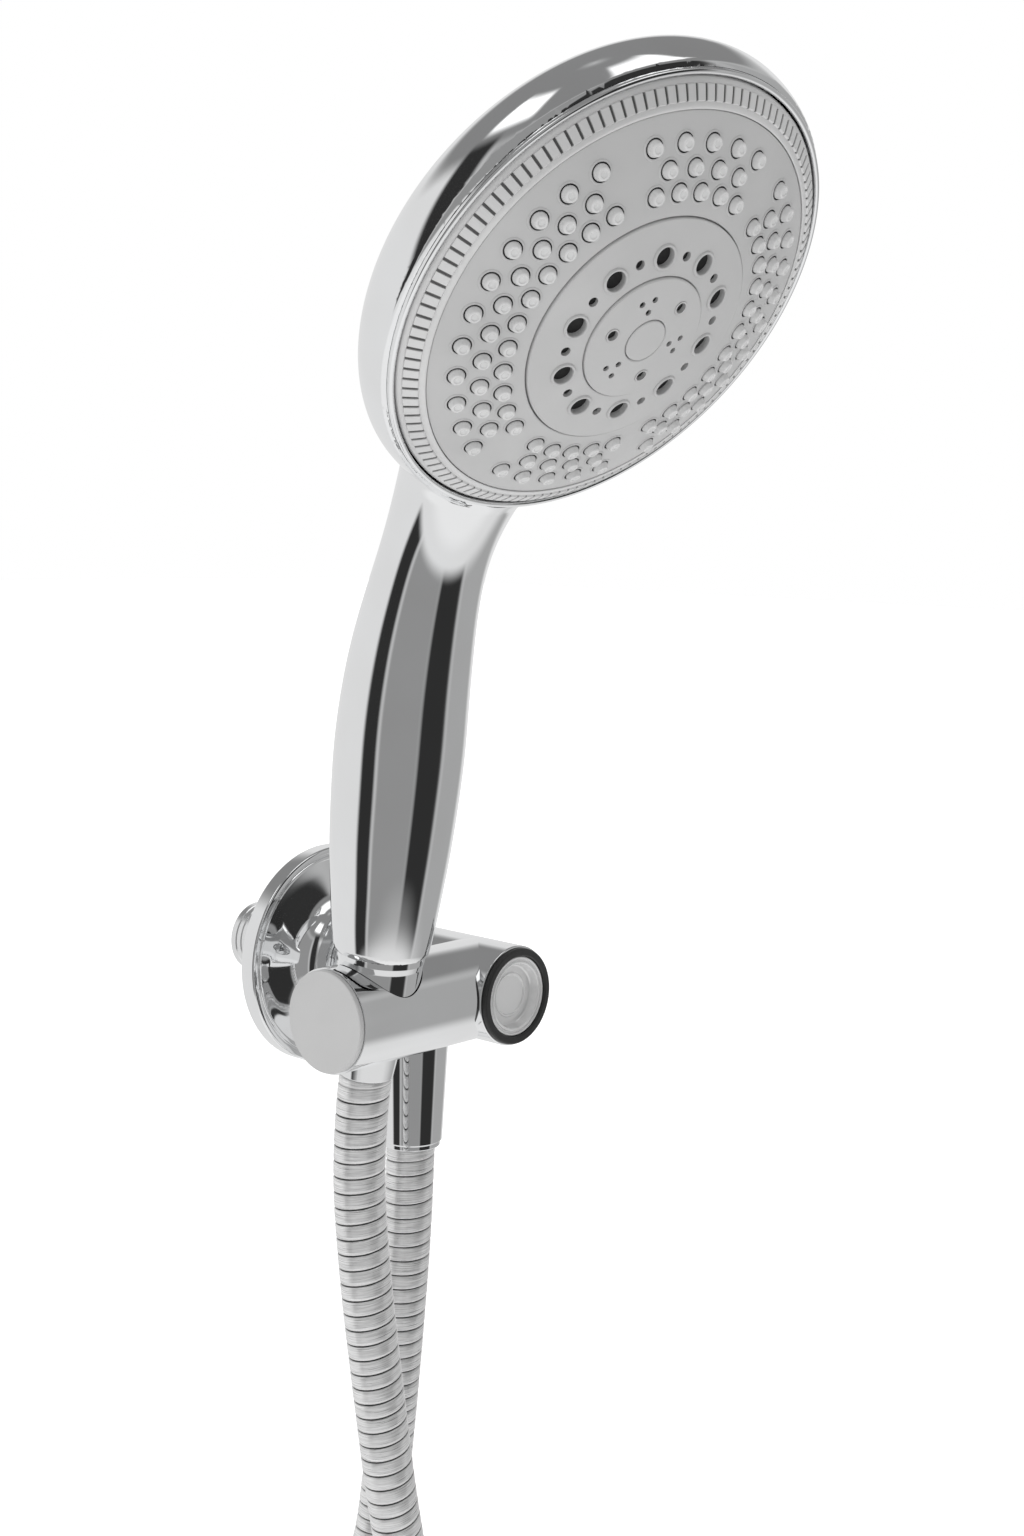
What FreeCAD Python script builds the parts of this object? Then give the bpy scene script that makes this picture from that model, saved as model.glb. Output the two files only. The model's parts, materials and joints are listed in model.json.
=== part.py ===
import FreeCAD, Part
import math
import os
import Sketcher

# Hand shower set: a wall outlet with a holder, a metal hose and a hand shower.
# Millimetres. The origin is on the inlet axis at the wall plane, -Y points out
# of the wall, +Z up, and the holder reaches towards -X.

V = FreeCAD.Vector
X_AXIS = V(1, 0, 0)
Y_AXIS = V(0, 1, 0)
Z_AXIS = V(0, 0, 1)
GAP = 0.05

# Driving dimensions, written to the spreadsheet.
DIMENSIONS = {
    # wall outlet and holder
    "arm_radius": 13.75,
    "arm_start": 2.2,
    "arm_end": 75.4,
    "holder_set": 61.3,
    "holder_reach": 55.9,
    "thread_radius": 10.48,
    "nipple_free": 30.8,
    "nipple_seat": 12.0,
    "nipple_seat_radius": 9.9,
    "nipple_bore": 8.0,
    "socket_depth": 14.0,
    "flange_radius": 32.2,
    "flange_rim": 5.3,
    "neck_radius": 14.8,
    "neck_height": 17.5,
    "waterway_radius": 7.5,
    "waterway_step": 24.4,
    "passage_radius": 4.6,
    "plug_seat": 62.0,
    "plug_radius": 10.9,
    "disc_radius": 13.3,
    "disc_thickness": 1.5,
    "outlet_set": 37.2,
    "outlet_drop": 50.1,
    "outlet_nut_foot": 8.95,
    "outlet_nut_head": 10.4,
    "collar_radius": 11.6,
    "holder_mouth": 11.45,
    "holder_mouth_floor": 0.4,
    # hose
    "hose_radius": 7.0,
    "ferrule_radius": 5.6,
    "ferrule_bore": 4.0,
    "coil_radius": 74.5,
    # handset, from the bottom of the cone nut upwards
    "bore_side": 39.7,
    "nut_drop": 17.4,
    "nut_foot": 7.3,
    "nut_waist": 9.35,
    "nut_shoulder": 18.4,
    "nut_head": 11.2,
    "nut_length": 31.0,
    "grip_start": 33.2,
    "grip_length": 118.3,
    "grip_radius": 16.75,
    "grip_wall": 2.4,
    "skirt_radius": 11.95,
    "skirt_top": 44.0,
    "bulkhead_top": 52.0,
    "spigot_neck": 8.0,
    "water_tube_radius": 5.2,
    "water_tube_bore": 4.0,
    # head, measured along its axis from the back of the bowl
    "head_depth": 34.0,
    "bowl_radius": 59.4,
    "bowl_middle": 23.0,
    "bowl_back": 22.0,
    "bowl_front": 30.4,
    "bowl_lip": 29.8,
    "bowl_wall": 2.4,
    "bezel_radius": 57.3,
    "ring_radius": 55.6,
    "face_radius": 49.9,
    "ring_gap": 0.4,
    "dome_radius": 132.1,
    "dome_rise": 9.4,
    "plate_thickness": 2.0,
    "mat_thickness": 1.2,
    "nub_radius": 1.75,
    "nub_height": 1.3,
    "insert_radius": 28.6,
    "cluster_radius": 15.5,
    "cap_radius": 5.2,
    "jet_ring": 20.4,
    "screw_radius": 2.0,
    "carrier_floor": 26.5,
    "distributor_top": 24.5,
    "distributor_foot": 19.0,
    "chamber_radius": 38.5,
    "detent_ring": 42.0,
    "port_ring": 35.0,
}

# Angles and placings that set the frames of the three sub-assemblies, in degrees.
HANDSET_LEAN = 8.5
HANDSET_SWING = -4.5
HEAD_REACH = 52.0
HEAD_RISE = 201.2
FACE_TILT = 29.3
NUB_TURN = 5.0

doc = FreeCAD.newDocument("HandShower")
sheet = doc.addObject("Spreadsheet::Sheet", "Sizes")
for row, (alias, number) in enumerate(DIMENSIONS.items(), start=1):
    sheet.set(f"A{row}", alias)
    sheet.set(f"B{row}", str(number))
    sheet.setAlias(f"B{row}", alias)
doc.recompute()


class Size:
    """A length that carries both its number and its spreadsheet expression."""

    def __init__(self, value, text):
        self.value = value
        self.text = text

    def __add__(self, other):
        other = as_size(other)
        return Size(self.value + other.value, f"({self.text} + {other.text})")

    def __sub__(self, other):
        other = as_size(other)
        return Size(self.value - other.value, f"({self.text} - {other.text})")

    def __mul__(self, factor):
        return Size(self.value * factor, f"({self.text} * {factor})")


def as_size(number):
    return number if isinstance(number, Size) else Size(float(number), str(float(number)))


class Sizes:
    """Gives each alias of the spreadsheet as a Size."""

    def __getattr__(self, alias):
        return Size(sheet.get(alias), f"Sizes.{alias}")


S = Sizes()
PIECES = []


def keep(piece, label, place):
    """Names a finished piece, puts it in its place and lists it for export."""
    piece.Label = label
    piece.Placement = place
    PIECES.append(piece)
    return piece


def bind(thing, prop, number):
    """Sets a property to a Size, and ties it to the spreadsheet."""
    number = as_size(number)
    thing.setExpression(prop, number.text)


def origin_plane(body, role):
    return next(f for f in body.Origin.OriginFeatures if f.Role == role)


def pin_point(sketch, index, place, point):
    """Dimensions one point of a sketch from the sketch's origin."""
    for kind, axis, number in (("DistanceX", -2, point[0]), ("DistanceY", -1, point[1])):
        number = as_size(number)
        if abs(number.value) < 1e-9:
            sketch.addConstraint(Sketcher.Constraint("PointOnObject", index, place, axis))
        else:
            made = sketch.addConstraint(
                Sketcher.Constraint(kind, -1, 1, index, place, number.value)
            )
            sketch.setExpression(f"Constraints[{made}]", number.text)


def turned_body(name, outline):
    """A body turned about its Z axis from a closed outline of (radius, height)."""
    body = doc.addObject("PartDesign::Body", name)
    sketch = body.newObject("Sketcher::SketchObject", name + "_outline")
    sketch.AttachmentSupport = (origin_plane(body, "XZ_Plane"), [""])
    sketch.MapMode = "FlatFace"
    points = [(as_size(r), as_size(z)) for r, z in outline]
    count = len(points)
    for i, (start, end) in enumerate(zip(points, points[1:] + points[:1])):
        line = Part.LineSegment(
            V(start[0].value, start[1].value, 0), V(end[0].value, end[1].value, 0)
        )
        sketch.addGeometry(line, False)
    for i in range(count):
        sketch.addConstraint(Sketcher.Constraint("Coincident", i, 2, (i + 1) % count, 1))
    for i, point in enumerate(points):
        pin_point(sketch, i, 1, point)
    turn = body.newObject("PartDesign::Revolution", name + "_turn")
    turn.Profile = sketch
    turn.ReferenceAxis = (sketch, ["V_Axis"])
    turn.Angle = 360
    body.Tip = turn
    return body


def turned(label, outline, place):
    return keep(turned_body(label, outline), label, place)


def ring(label, inner, outer, low, high, place):
    """A plain ring or washer of rectangular section."""
    return turned(label, [(inner, low), (outer, low), (outer, high), (inner, high)], place)


def hole_ring(body, name, ring_radius, hole_radius, count, low, high):
    """Cuts evenly spaced holes, each on a circle about the body's axis."""
    sketch = body.newObject("Sketcher::SketchObject", name)
    sketch.AttachmentSupport = (origin_plane(body, "XY_Plane"), [""])
    sketch.MapMode = "FlatFace"
    sketch.AttachmentOffset = FreeCAD.Placement(V(0, 0, as_size(low).value), FreeCAD.Rotation())
    sketch.setExpression("AttachmentOffset.Base.z", as_size(low).text)
    where = as_size(ring_radius)
    size = as_size(hole_radius)
    sketch.addGeometry(Part.Circle(V(where.value, 0, 0), Z_AXIS, size.value), False)
    pin_point(sketch, 0, 3, (where, 0))
    radius = sketch.addConstraint(Sketcher.Constraint("Radius", 0, size.value))
    sketch.setExpression(f"Constraints[{radius}]", size.text)
    pocket = body.newObject("PartDesign::Pocket", name + "_pocket")
    pocket.Profile = sketch
    pocket.Reversed = True
    bind(pocket, "Length", as_size(high) - as_size(low))
    body.Tip = pocket
    doc.recompute()
    if count > 1:
        pattern = body.newObject("PartDesign::PolarPattern", name + "_pattern")
        pattern.Originals = [pocket]
        pattern.Axis = (sketch, ["N_Axis"])
        pattern.Angle = 360
        pattern.Occurrences = count
        body.Tip = pattern
        doc.recompute()


def cylinder(name, radius, low, high, place=FreeCAD.Placement()):
    """A Part cylinder along its own Z axis, from low to high."""
    shape = doc.addObject("Part::Cylinder", name)
    bind(shape, "Radius", radius)
    bind(shape, "Height", as_size(high) - as_size(low))
    shape.Placement = place.multiply(
        FreeCAD.Placement(V(0, 0, as_size(low).value), FreeCAD.Rotation())
    )
    return shape


def fused(name, shapes):
    joined = doc.addObject("Part::MultiFuse", name)
    joined.Shapes = shapes
    return joined


def cut(name, base, tool):
    left = doc.addObject("Part::Cut", name)
    left.Base = base
    left.Tool = tool
    return left


def common(name, one, other):
    both = doc.addObject("Part::Common", name)
    both.Base = one
    both.Tool = other
    return both


def coil_spring(label, radius, wire, pitch, low, high, place):
    """A round-wire compression spring standing on its Z axis."""
    spine = doc.addObject("Part::Helix", label + "_line")
    bind(spine, "Radius", radius)
    bind(spine, "Pitch", pitch)
    bind(spine, "Height", as_size(high) - as_size(low) - wire * 2)
    section = doc.addObject("Part::Circle", label + "_section")
    bind(section, "Radius", wire)
    section.Placement = FreeCAD.Placement(V(as_size(radius).value, 0, 0), FreeCAD.Rotation(X_AXIS, 90))
    swept = doc.addObject("Part::Sweep", label)
    swept.Sections = [section]
    swept.Spine = (spine, ["Edge1"])
    swept.Solid = True
    swept.Frenet = True
    lift = FreeCAD.Placement(V(0, 0, as_size(low).value + wire), FreeCAD.Rotation())
    return keep(swept, label, place.multiply(lift))


def turned_by(angle):
    return FreeCAD.Placement(V(0, 0, 0), FreeCAD.Rotation(Z_AXIS, angle))


# Frames. Each local Z axis runs along the pieces turned about it.
WALL = FreeCAD.Placement(V(0, 0, 0), FreeCAD.Rotation(X_AXIS, 90))
NIPPLE = FreeCAD.Placement(V(0, S.nipple_free.value, 0), FreeCAD.Rotation(X_AXIS, 90))
CROSS = FreeCAD.Placement(V(0, -S.holder_set.value, 0), FreeCAD.Rotation(Y_AXIS, -90))
OUTLET = FreeCAD.Placement(V(0, -S.outlet_set.value, -S.outlet_drop.value), FreeCAD.Rotation())
lean = math.radians(HANDSET_LEAN)
HANDSET_AXIS = V(0, -math.sin(lean), math.cos(lean))
HOLDER_CENTRE = V(-S.bore_side.value, -S.holder_set.value, 0)
HANDSET = FreeCAD.Placement(
    HOLDER_CENTRE - HANDSET_AXIS * S.nut_drop.value,
    FreeCAD.Rotation(X_AXIS, HANDSET_LEAN).multiply(FreeCAD.Rotation(Z_AXIS, HANDSET_SWING)),
)
HEAD_IN_HANDSET = FreeCAD.Placement(
    V(0, -HEAD_REACH, HEAD_RISE), FreeCAD.Rotation(X_AXIS, 90 + FACE_TILT)
).multiply(FreeCAD.Placement(V(0, 0, -S.head_depth.value), FreeCAD.Rotation()))
HEAD = HANDSET.multiply(HEAD_IN_HANDSET)
NUBS = HEAD.multiply(turned_by(NUB_TURN))


# Wall outlet and holder -------------------------------------------------------

def wall_flange():
    """Trumpet-shaped cover against the wall, with a groove for its seal."""
    bore = S.arm_radius + 0.1
    outline = [
        (bore, 6.4),
        (18.0, 4.6),
        (25.0, 2.6),
        (25.0, 0),
        (26.0, 0),
        (26.0, 2.0),
        (29.0, 2.0),
        (29.0, 0),
        (S.flange_radius, 0),
        (S.flange_radius, S.flange_rim - 1.2),
        (S.flange_radius - 1.2, S.flange_rim),
        (S.flange_radius - 2.6, S.flange_rim),
        (S.flange_radius - 3.4, S.flange_rim - 1.0),
        (22.0, 5.6),
        (17.5, 7.6),
        (S.neck_radius + 0.8, 10.0),
        (S.neck_radius, 12.5),
        (S.neck_radius, S.neck_height),
        (bore, S.neck_height),
    ]
    turned("wall_flange", outline, WALL)
    ring("flange_seal", 26.0 + GAP, 29.0 - GAP, 0.1, 2.0 - GAP, WALL)


def inlet_nipple():
    """Inlet pipe: its thread at nominal size in the wall, a thinner seat in the arm."""
    free = S.nipple_free
    end = S.nipple_free + S.nipple_seat
    inner = S.nipple_seat_radius
    outline = [
        (S.nipple_bore, 0),
        (S.thread_radius - 1.0, 0),
        (S.thread_radius, 1.0),
        (S.thread_radius, free),
        (inner, free),
        (inner, end),
        (S.nipple_bore, end),
    ]
    turned("inlet_nipple", outline, NIPPLE)
    ring("nipple_seal", S.nipple_bore, inner, S.nipple_seat + GAP, S.socket_depth - GAP, WALL)


def bracket_body():
    """The arm, the cross cylinder with its stepped, tapered holder and the spigot."""
    arm = turned_body(
        "arm",
        [
            (0, S.arm_start),
            (S.arm_radius, S.arm_start),
            (S.arm_radius, S.arm_end - 0.5),
            (S.arm_radius - 0.5, S.arm_end),
            (0, S.arm_end),
        ],
    )
    arm.Placement = WALL
    cross = cylinder("cross_cylinder", S.arm_radius, 0, S.holder_reach, CROSS)
    solid = fused("arm_and_cross", [arm, cross])
    down = FreeCAD.Placement(V(0, -S.outlet_set.value, 0), FreeCAD.Rotation(X_AXIS, 180))
    recess_ring = turned_body(
        "outlet_recess",
        [(0, 6.2), (S.collar_radius + 0.3, 6.2), (S.collar_radius + 0.3, 20.0), (0, 20.0)],
    )
    recess_ring.Placement = down
    holder = doc.addObject("Part::Cone", "holder_taper")
    reach = 24.0
    slope = (S.nut_waist.value - S.nut_foot.value) / S.nut_shoulder.value
    clearance = 0.08
    middle = S.nut_foot + slope * S.nut_drop.value + clearance
    bind(holder, "Radius1", middle - slope * reach)
    bind(holder, "Radius2", middle + slope * reach)
    bind(holder, "Height", 2 * reach)
    holder.Placement = FreeCAD.Placement(
        HOLDER_CENTRE - HANDSET_AXIS * reach, FreeCAD.Rotation(X_AXIS, HANDSET_LEAN)
    )
    along_holder = FreeCAD.Placement(HOLDER_CENTRE, FreeCAD.Rotation(X_AXIS, HANDSET_LEAN))
    mouth = cylinder("holder_mouth", S.holder_mouth, S.holder_mouth_floor, reach, along_holder)
    hollows = fused(
        "bracket_hollows",
        [
            cylinder("waterway", S.waterway_radius, 0, S.waterway_step, WALL),
            cylinder("passage", S.passage_radius, 0, S.plug_seat, WALL),
            cylinder("nipple_socket", S.nipple_seat_radius + 0.08, 0, S.socket_depth, WALL),
            cylinder("plug_socket", S.plug_radius, S.plug_seat, S.arm_end + 1, WALL),
            recess_ring,
            holder,
            mouth,
        ],
    )
    shell = cut("bracket_shell", solid, hollows)
    spigot = cylinder("outlet_spigot", S.thread_radius, 5.5, 12.5, down)
    outlet = cylinder("outlet_bore", S.passage_radius, 0, 16.0, down)
    whole = cut("bracket", fused("bracket_with_spigot", [shell, spigot]), outlet)
    keep(whole, "bracket_body", FreeCAD.Placement())


def arm_end():
    """Black rubber ring and recessed plug that close the front of the arm."""
    ring("arm_end_ring", 11.0, S.arm_radius - 0.55, S.arm_end + GAP, S.arm_end + 1.4, WALL)
    rim = S.plug_radius - GAP
    outline = [
        (0, S.plug_seat + 0.1),
        (9.3, S.plug_seat + 0.1),
        (9.3, 67.0),
        (rim, 67.0),
        (rim, S.arm_end + 0.8),
        (9.6, S.arm_end + 0.8),
        (9.6, 74.6),
        (8.6, 73.6),
        (0, 73.6),
    ]
    turned("arm_end_plug", outline, WALL)
    ring("plug_o_ring", 9.3 + GAP, rim, 64.6, 67.0 - GAP, WALL)


def holder_disc():
    ring_top = S.holder_reach + S.disc_thickness
    outline = [
        (0, S.holder_reach + GAP),
        (S.disc_radius, S.holder_reach + GAP),
        (S.disc_radius, ring_top - 0.3),
        (S.disc_radius - 0.3, ring_top),
        (0, ring_top),
    ]
    turned("holder_end_disc", outline, CROSS)


def check_valve():
    """Spring-loaded non-return valve in the arm's waterway."""
    wall = S.waterway_radius - GAP
    cage = turned_body(
        "check_valve_cage",
        [
            (3.4, 14.1),
            (wall, 14.1),
            (wall, 24.3),
            (1.35, 24.3),
            (1.35, 22.9),
            (5.8, 22.9),
            (5.8, 15.5),
            (3.4, 15.5),
        ],
    )
    hole_ring(cage, "spider_ports", 3.3, 1.1, 4, 22.0, 25.0)
    keep(cage, "check_valve_cage", WALL)
    turned(
        "check_valve_poppet",
        [(0, 15.8), (4.8, 15.8), (4.4, 17.1), (1.25, 17.1), (1.25, 25.4), (0, 25.4)],
        WALL,
    )
    coil_spring("check_valve_spring", 2.3, 0.25, 1.1, 17.3, 22.7, WALL)


def outlet_fittings():
    """Nut, washer and crimped end that join the hose to the outlet."""
    top = S.outlet_drop - 6.8
    step = 0.4
    outline = [
        (S.ferrule_radius + GAP, 0),
        (S.outlet_nut_foot - 0.5, 0),
        (S.outlet_nut_foot - 0.5, 1.4),
        (S.outlet_nut_foot, 1.4 + step),
        (S.outlet_nut_head, 35.4),
        (S.collar_radius, 37.0),
        (S.collar_radius, top),
        (S.thread_radius + 0.07, top),
        (S.thread_radius + 0.07, 37.5),
        (9.6, 37.5),
        (9.6, 33.4),
        (S.ferrule_radius + GAP, 33.4),
    ]
    turned("outlet_nut", outline, OUTLET)
    ring("outlet_washer", 4.2, 9.5, 35.5 + GAP, 37.6 - GAP, OUTLET)
    ferrule("hose_outlet_end", 0.1, 33.4 + GAP, 35.5, 9.5, OUTLET)


def ferrule(label, low, flange_low, flange_high, flange_radius, place):
    """Hose end tube with the flange that a nut pulls against a washer."""
    outline = [
        (S.ferrule_bore, low),
        (S.ferrule_radius, low),
        (S.ferrule_radius, flange_low),
        (flange_radius, flange_low),
        (flange_radius, flange_high),
        (S.ferrule_bore, flange_high),
    ]
    turned(label, outline, place)


# Hose -------------------------------------------------------------------------

# The hose's route where it isn't coiled, from the cone nut down to the coil and
# from the coil up to the outlet nut.
COIL_CENTRE = V(-6.0, 0, -302.0)
COIL_FRONT = -62.5
COIL_BACK = -25.3
COIL_LEAD = 15.0
FRONT_ROUTE = [
    (-39.9, -56.0, -39.0),
    (-38.0, -57.6, -72.0),
    (-33.8, -59.8, -108.0),
    (-28.4, -61.5, -146.0),
    (-19.5, -62.3, -181.0),
    (4.0, -62.4, -208.0),
    (37.0, -62.5, -224.5),
    (58.2, -62.5, -253.7),
]
REAR_ROUTE = [
    (-71.5, -25.2, -255.0),
    (-55.0, -25.6, -231.0),
    (-20.5, -27.8, -207.0),
    (-4.6, -30.4, -177.0),
    (-2.5, -33.0, -146.0),
    (-1.1, -35.4, -106.0),
    (-0.2, -37.1, -72.0),
]


def coil_point(side, y):
    """Where a straight length of hose joins the coil, a little above its middle."""
    lead = math.radians(COIL_LEAD)
    radius = S.coil_radius.value
    return V(
        COIL_CENTRE.x + side * radius * math.cos(lead),
        y,
        COIL_CENTRE.z + radius * math.sin(lead),
    )


def rounded_path(points):
    """Straight runs joined by tangent arcs as large as the runs allow."""
    edges = []
    radii = []
    start = points[0]
    for before, corner, after in zip(points, points[1:], points[2:]):
        back = before - corner
        ahead = after - corner
        reach = 0.45 * min(back.Length, ahead.Length)
        back.normalize()
        ahead.normalize()
        half_turn = (math.pi - back.getAngle(ahead)) / 2
        radii.append(reach / math.tan(half_turn))
        first = corner + back * reach
        last = corner + ahead * reach
        middle_way = back + ahead
        middle_way.normalize()
        to_centre = radii[-1] / math.cos(half_turn)
        middle = corner + middle_way * (to_centre - radii[-1])
        edges.append(Part.LineSegment(start, first).toShape())
        edges.append(Part.Arc(first, middle, last).toShape())
        start = last
    edges.append(Part.LineSegment(start, points[-1]).toShape())
    return Part.Wire(edges), radii


def tube_along(label, points, radius, bore=0.0):
    """A round tube or solid rod along a rounded path."""
    path, radii = rounded_path(points)
    along = points[1] - points[0]
    disc = Part.Face(Part.Wire(Part.makeCircle(radius, points[0], along)))
    solid = path.makePipe(disc)
    if bore:
        inside = Part.Face(Part.Wire(Part.makeCircle(bore, points[0], along)))
        solid = solid.cut(path.makePipe(inside))
    piece = doc.addObject("Part::Feature", label)
    piece.Shape = solid
    expected = math.pi * (radius**2 - bore**2) * path.Length
    print(
        f"{label}: length {path.Length:.1f}, volume ratio {solid.Volume / expected:.4f}, radii",
        [round(r, 1) for r in radii],
    )
    return piece


def hose():
    radius = sheet.get("hose_radius")
    nut_foot = HANDSET.multVec(V(0, 0, -0.4))
    front = [nut_foot] + [V(*p) for p in FRONT_ROUTE] + [coil_point(1, COIL_FRONT)]
    outlet_foot = OUTLET.multVec(V(0, 0, -0.1))
    rear = [coil_point(-1, COIL_BACK)] + [V(*p) for p in REAR_ROUTE] + [outlet_foot]
    keep(tube_along("hose_front_length", front, radius), "hose_front_length", FreeCAD.Placement())
    keep(tube_along("hose_rear_length", rear, radius), "hose_rear_length", FreeCAD.Placement())
    coil_turns(radius)
    tie(radius)


def coil_turns(radius):
    """One closed ring of the coil's outer shape, rounded a little at its edges."""
    place = FreeCAD.Placement(
        V(COIL_CENTRE.x, COIL_BACK + radius, COIL_CENTRE.z), FreeCAD.Rotation(X_AXIS, 90)
    )
    width = COIL_BACK - COIL_FRONT + 2 * radius
    inner = S.coil_radius - S.hose_radius
    outer = S.coil_radius + S.hose_radius
    corner = 3.0
    outline = [
        (inner, corner),
        (inner + corner, 0),
        (outer - corner, 0),
        (outer, corner),
        (outer, width - corner),
        (outer - corner, width),
        (inner + corner, width),
        (inner, width - corner),
    ]
    turned("hose_coil", outline, place)


def tie(radius):
    """Strap round the turns at the bottom of the coil."""
    thickness = 1.2
    slack = 0.3
    width = 10.0
    across = COIL_BACK - COIL_FRONT + 2 * (radius + slack)
    deep = 2 * (radius + slack)
    centre = V(COIL_CENTRE.x, (COIL_FRONT + COIL_BACK) / 2, COIL_CENTRE.z - S.coil_radius.value)
    outside = block("tie_band", V(width, across + 2 * thickness, deep + 2 * thickness), centre)
    inside = block("tie_hollow", V(width + 2, across, deep), centre)
    keep(cut("tie", outside, inside), "hose_tie", FreeCAD.Placement())


def block(name, size, centre):
    """A box of a given size about its centre."""
    box = doc.addObject("Part::Box", name)
    bind(box, "Length", size.x)
    bind(box, "Width", size.y)
    bind(box, "Height", size.z)
    box.Placement = FreeCAD.Placement(centre - size * 0.5, FreeCAD.Rotation())
    return box


# Handset ----------------------------------------------------------------------

def handset_connection():
    """Cone nut, hose end, washer, spigot, filter and flow restrictor."""
    head = S.nut_length
    thread = S.thread_radius + 0.07
    outline = [
        (S.ferrule_radius + GAP, 0),
        (S.nut_foot, 0),
        (S.nut_waist, S.nut_shoulder),
        (S.nut_head - 0.4, S.nut_shoulder + 0.5),
        (S.nut_head, S.nut_shoulder + 1.4),
        (S.nut_head, head),
        (S.collar_radius - 0.1, head + 1.6),
        (S.collar_radius - 0.1, 43.0),
        (thread, 43.0),
        (thread, 33.5),
        (9.6, 33.5),
        (9.6, 29.1),
        (S.ferrule_radius + GAP, 29.1),
    ]
    turned("cone_nut", outline, HANDSET)
    ferrule("hose_handset_end", 0.3, 29.4, 31.4, 9.3, HANDSET)
    ring("swivel_washer", 4.2, 9.5, 31.7, 33.6, HANDSET)
    neck = S.spigot_neck
    top = S.bulkhead_top
    outline = [
        (S.ferrule_radius, 33.7),
        (S.thread_radius - 0.6, 33.7),
        (S.thread_radius, 34.4),
        (S.thread_radius, 43.9),
        (neck, 43.9),
        (neck, 47.4),
        (6.9, 47.4),
        (6.9, 49.6),
        (neck, 49.6),
        (neck, top),
        (S.ferrule_radius, top),
    ]
    turned("inlet_spigot", outline, HANDSET)
    ring("spigot_o_ring", 6.9 + GAP, neck, 47.4 + GAP, 49.6 - GAP, HANDSET)
    screen_rim = S.ferrule_radius - GAP
    screen = turned_body("filter_screen", [(0, 34.3), (screen_rim, 34.3), (screen_rim, 35.0), (0, 35.0)])
    hole_ring(screen, "screen_middle", 1.6, 0.5, 6, 34.0, 36.0)
    hole_ring(screen, "screen_outer", 3.6, 0.55, 14, 34.0, 36.0)
    keep(screen, "filter_screen", HANDSET)
    restrictor = turned_body(
        "flow_restrictor", [(1.2, 36.0), (screen_rim, 36.0), (screen_rim, 39.5), (1.2, 39.5)]
    )
    hole_ring(restrictor, "restrictor_ports", 3.6, 0.8, 8, 35.0, 41.0)
    keep(restrictor, "flow_restrictor", HANDSET)


# The grip's cross-sections, from the bottom upwards: height as a share of the
# grip's length, offset towards the wall, half width and half depth as shares of
# the belly's radius, and forward tilt in degrees.
GRIP_SECTIONS = [
    (0.0, 0.2, 0.735, 0.735, 0.0),
    (0.044, 0.5, 0.785, 0.785, -2.0),
    (0.128, 1.0, 0.854, 0.854, -3.0),
    (0.237, 1.7, 0.931, 0.931, -3.0),
    (0.354, 2.3, 0.979, 0.979, -3.0),
    (0.463, 2.8, 1.0, 0.995, -2.0),
    (0.572, 3.1, 0.98, 0.965, 0.0),
    (0.681, 2.7, 0.935, 0.91, 4.0),
    (0.79, 1.3, 0.875, 0.83, 9.0),
    (0.9, -1.5, 0.855, 0.77, 15.0),
    (1.0, -5.7, 0.93, 0.79, 22.0),
    (1.11, -12.0, 1.16, 0.8, 28.0),
    (1.22, -19.5, 1.5, 0.66, 29.3),
]


def grip_loft(name, shrink, skip):
    """A smooth solid through the grip's elliptical cross-sections."""
    rings = []
    for i, (share, offset, wide, deep, tilt) in enumerate(GRIP_SECTIONS[skip:]):
        section = doc.addObject("Part::Ellipse", f"{name}_{i}")
        bind(section, "MajorRadius", S.grip_radius * wide - shrink)
        bind(section, "MinorRadius", S.grip_radius * min(deep, wide - 0.001) - shrink)
        height = S.grip_start.value + S.grip_length.value * share
        section.Placement = FreeCAD.Placement(V(0, offset, height), FreeCAD.Rotation(X_AXIS, tilt))
        rings.append(section)
    loft = doc.addObject("Part::Loft", name)
    loft.Sections = rings
    loft.Solid = True
    loft.Ruled = False
    return loft


def half_bowl(name, depth, radius, front):
    """Half of an ellipsoid about the head's axis, to the front or the back."""
    half = doc.addObject("Part::Ellipsoid", name)
    bind(half, "Radius1", depth)
    bind(half, "Radius2", radius)
    half.Angle1 = 0 if front else -90
    half.Angle2 = 90 if front else 0
    half.Placement = HEAD_IN_HANDSET.multiply(
        FreeCAD.Placement(V(0, 0, S.bowl_middle.value), FreeCAD.Rotation())
    )
    return half


def handset_shell():
    """Hollow chromed shell: the grip and the bowl of the head in one piece."""
    front = cut(
        "bowl_front_half",
        half_bowl("bowl_front_full", S.bowl_front, S.bowl_radius, True),
        cylinder("bowl_front_trim", S.bowl_radius + 5, S.bowl_lip, 60.0, HEAD_IN_HANDSET),
    )
    outside = fused(
        "handset_outside",
        [
            grip_loft("grip_outside", 0.0, 0),
            half_bowl("bowl_back_half", S.bowl_back, S.bowl_radius, False),
            front,
        ],
    )
    inner_radius = S.bowl_radius - S.bowl_wall
    lip_radius = S.bezel_radius + GAP
    inside = fused(
        "handset_inside",
        [
            grip_loft("grip_inside", S.grip_wall.value, 3),
            half_bowl("bowl_hollow", S.bowl_back - S.bowl_wall, inner_radius, False),
            cylinder("bowl_mouth", inner_radius, S.bowl_middle, 60.0, HEAD_IN_HANDSET),
            cylinder("bezel_seat", lip_radius, 26.0, 60.0, HEAD_IN_HANDSET),
            cylinder("skirt_hollow", S.skirt_radius, 0, S.skirt_top),
            cylinder("bulkhead_hole", S.spigot_neck + GAP, 0, S.bulkhead_top + 20),
        ],
    )
    keep(cut("shell", outside, inside), "handset_shell", HANDSET)


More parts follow.
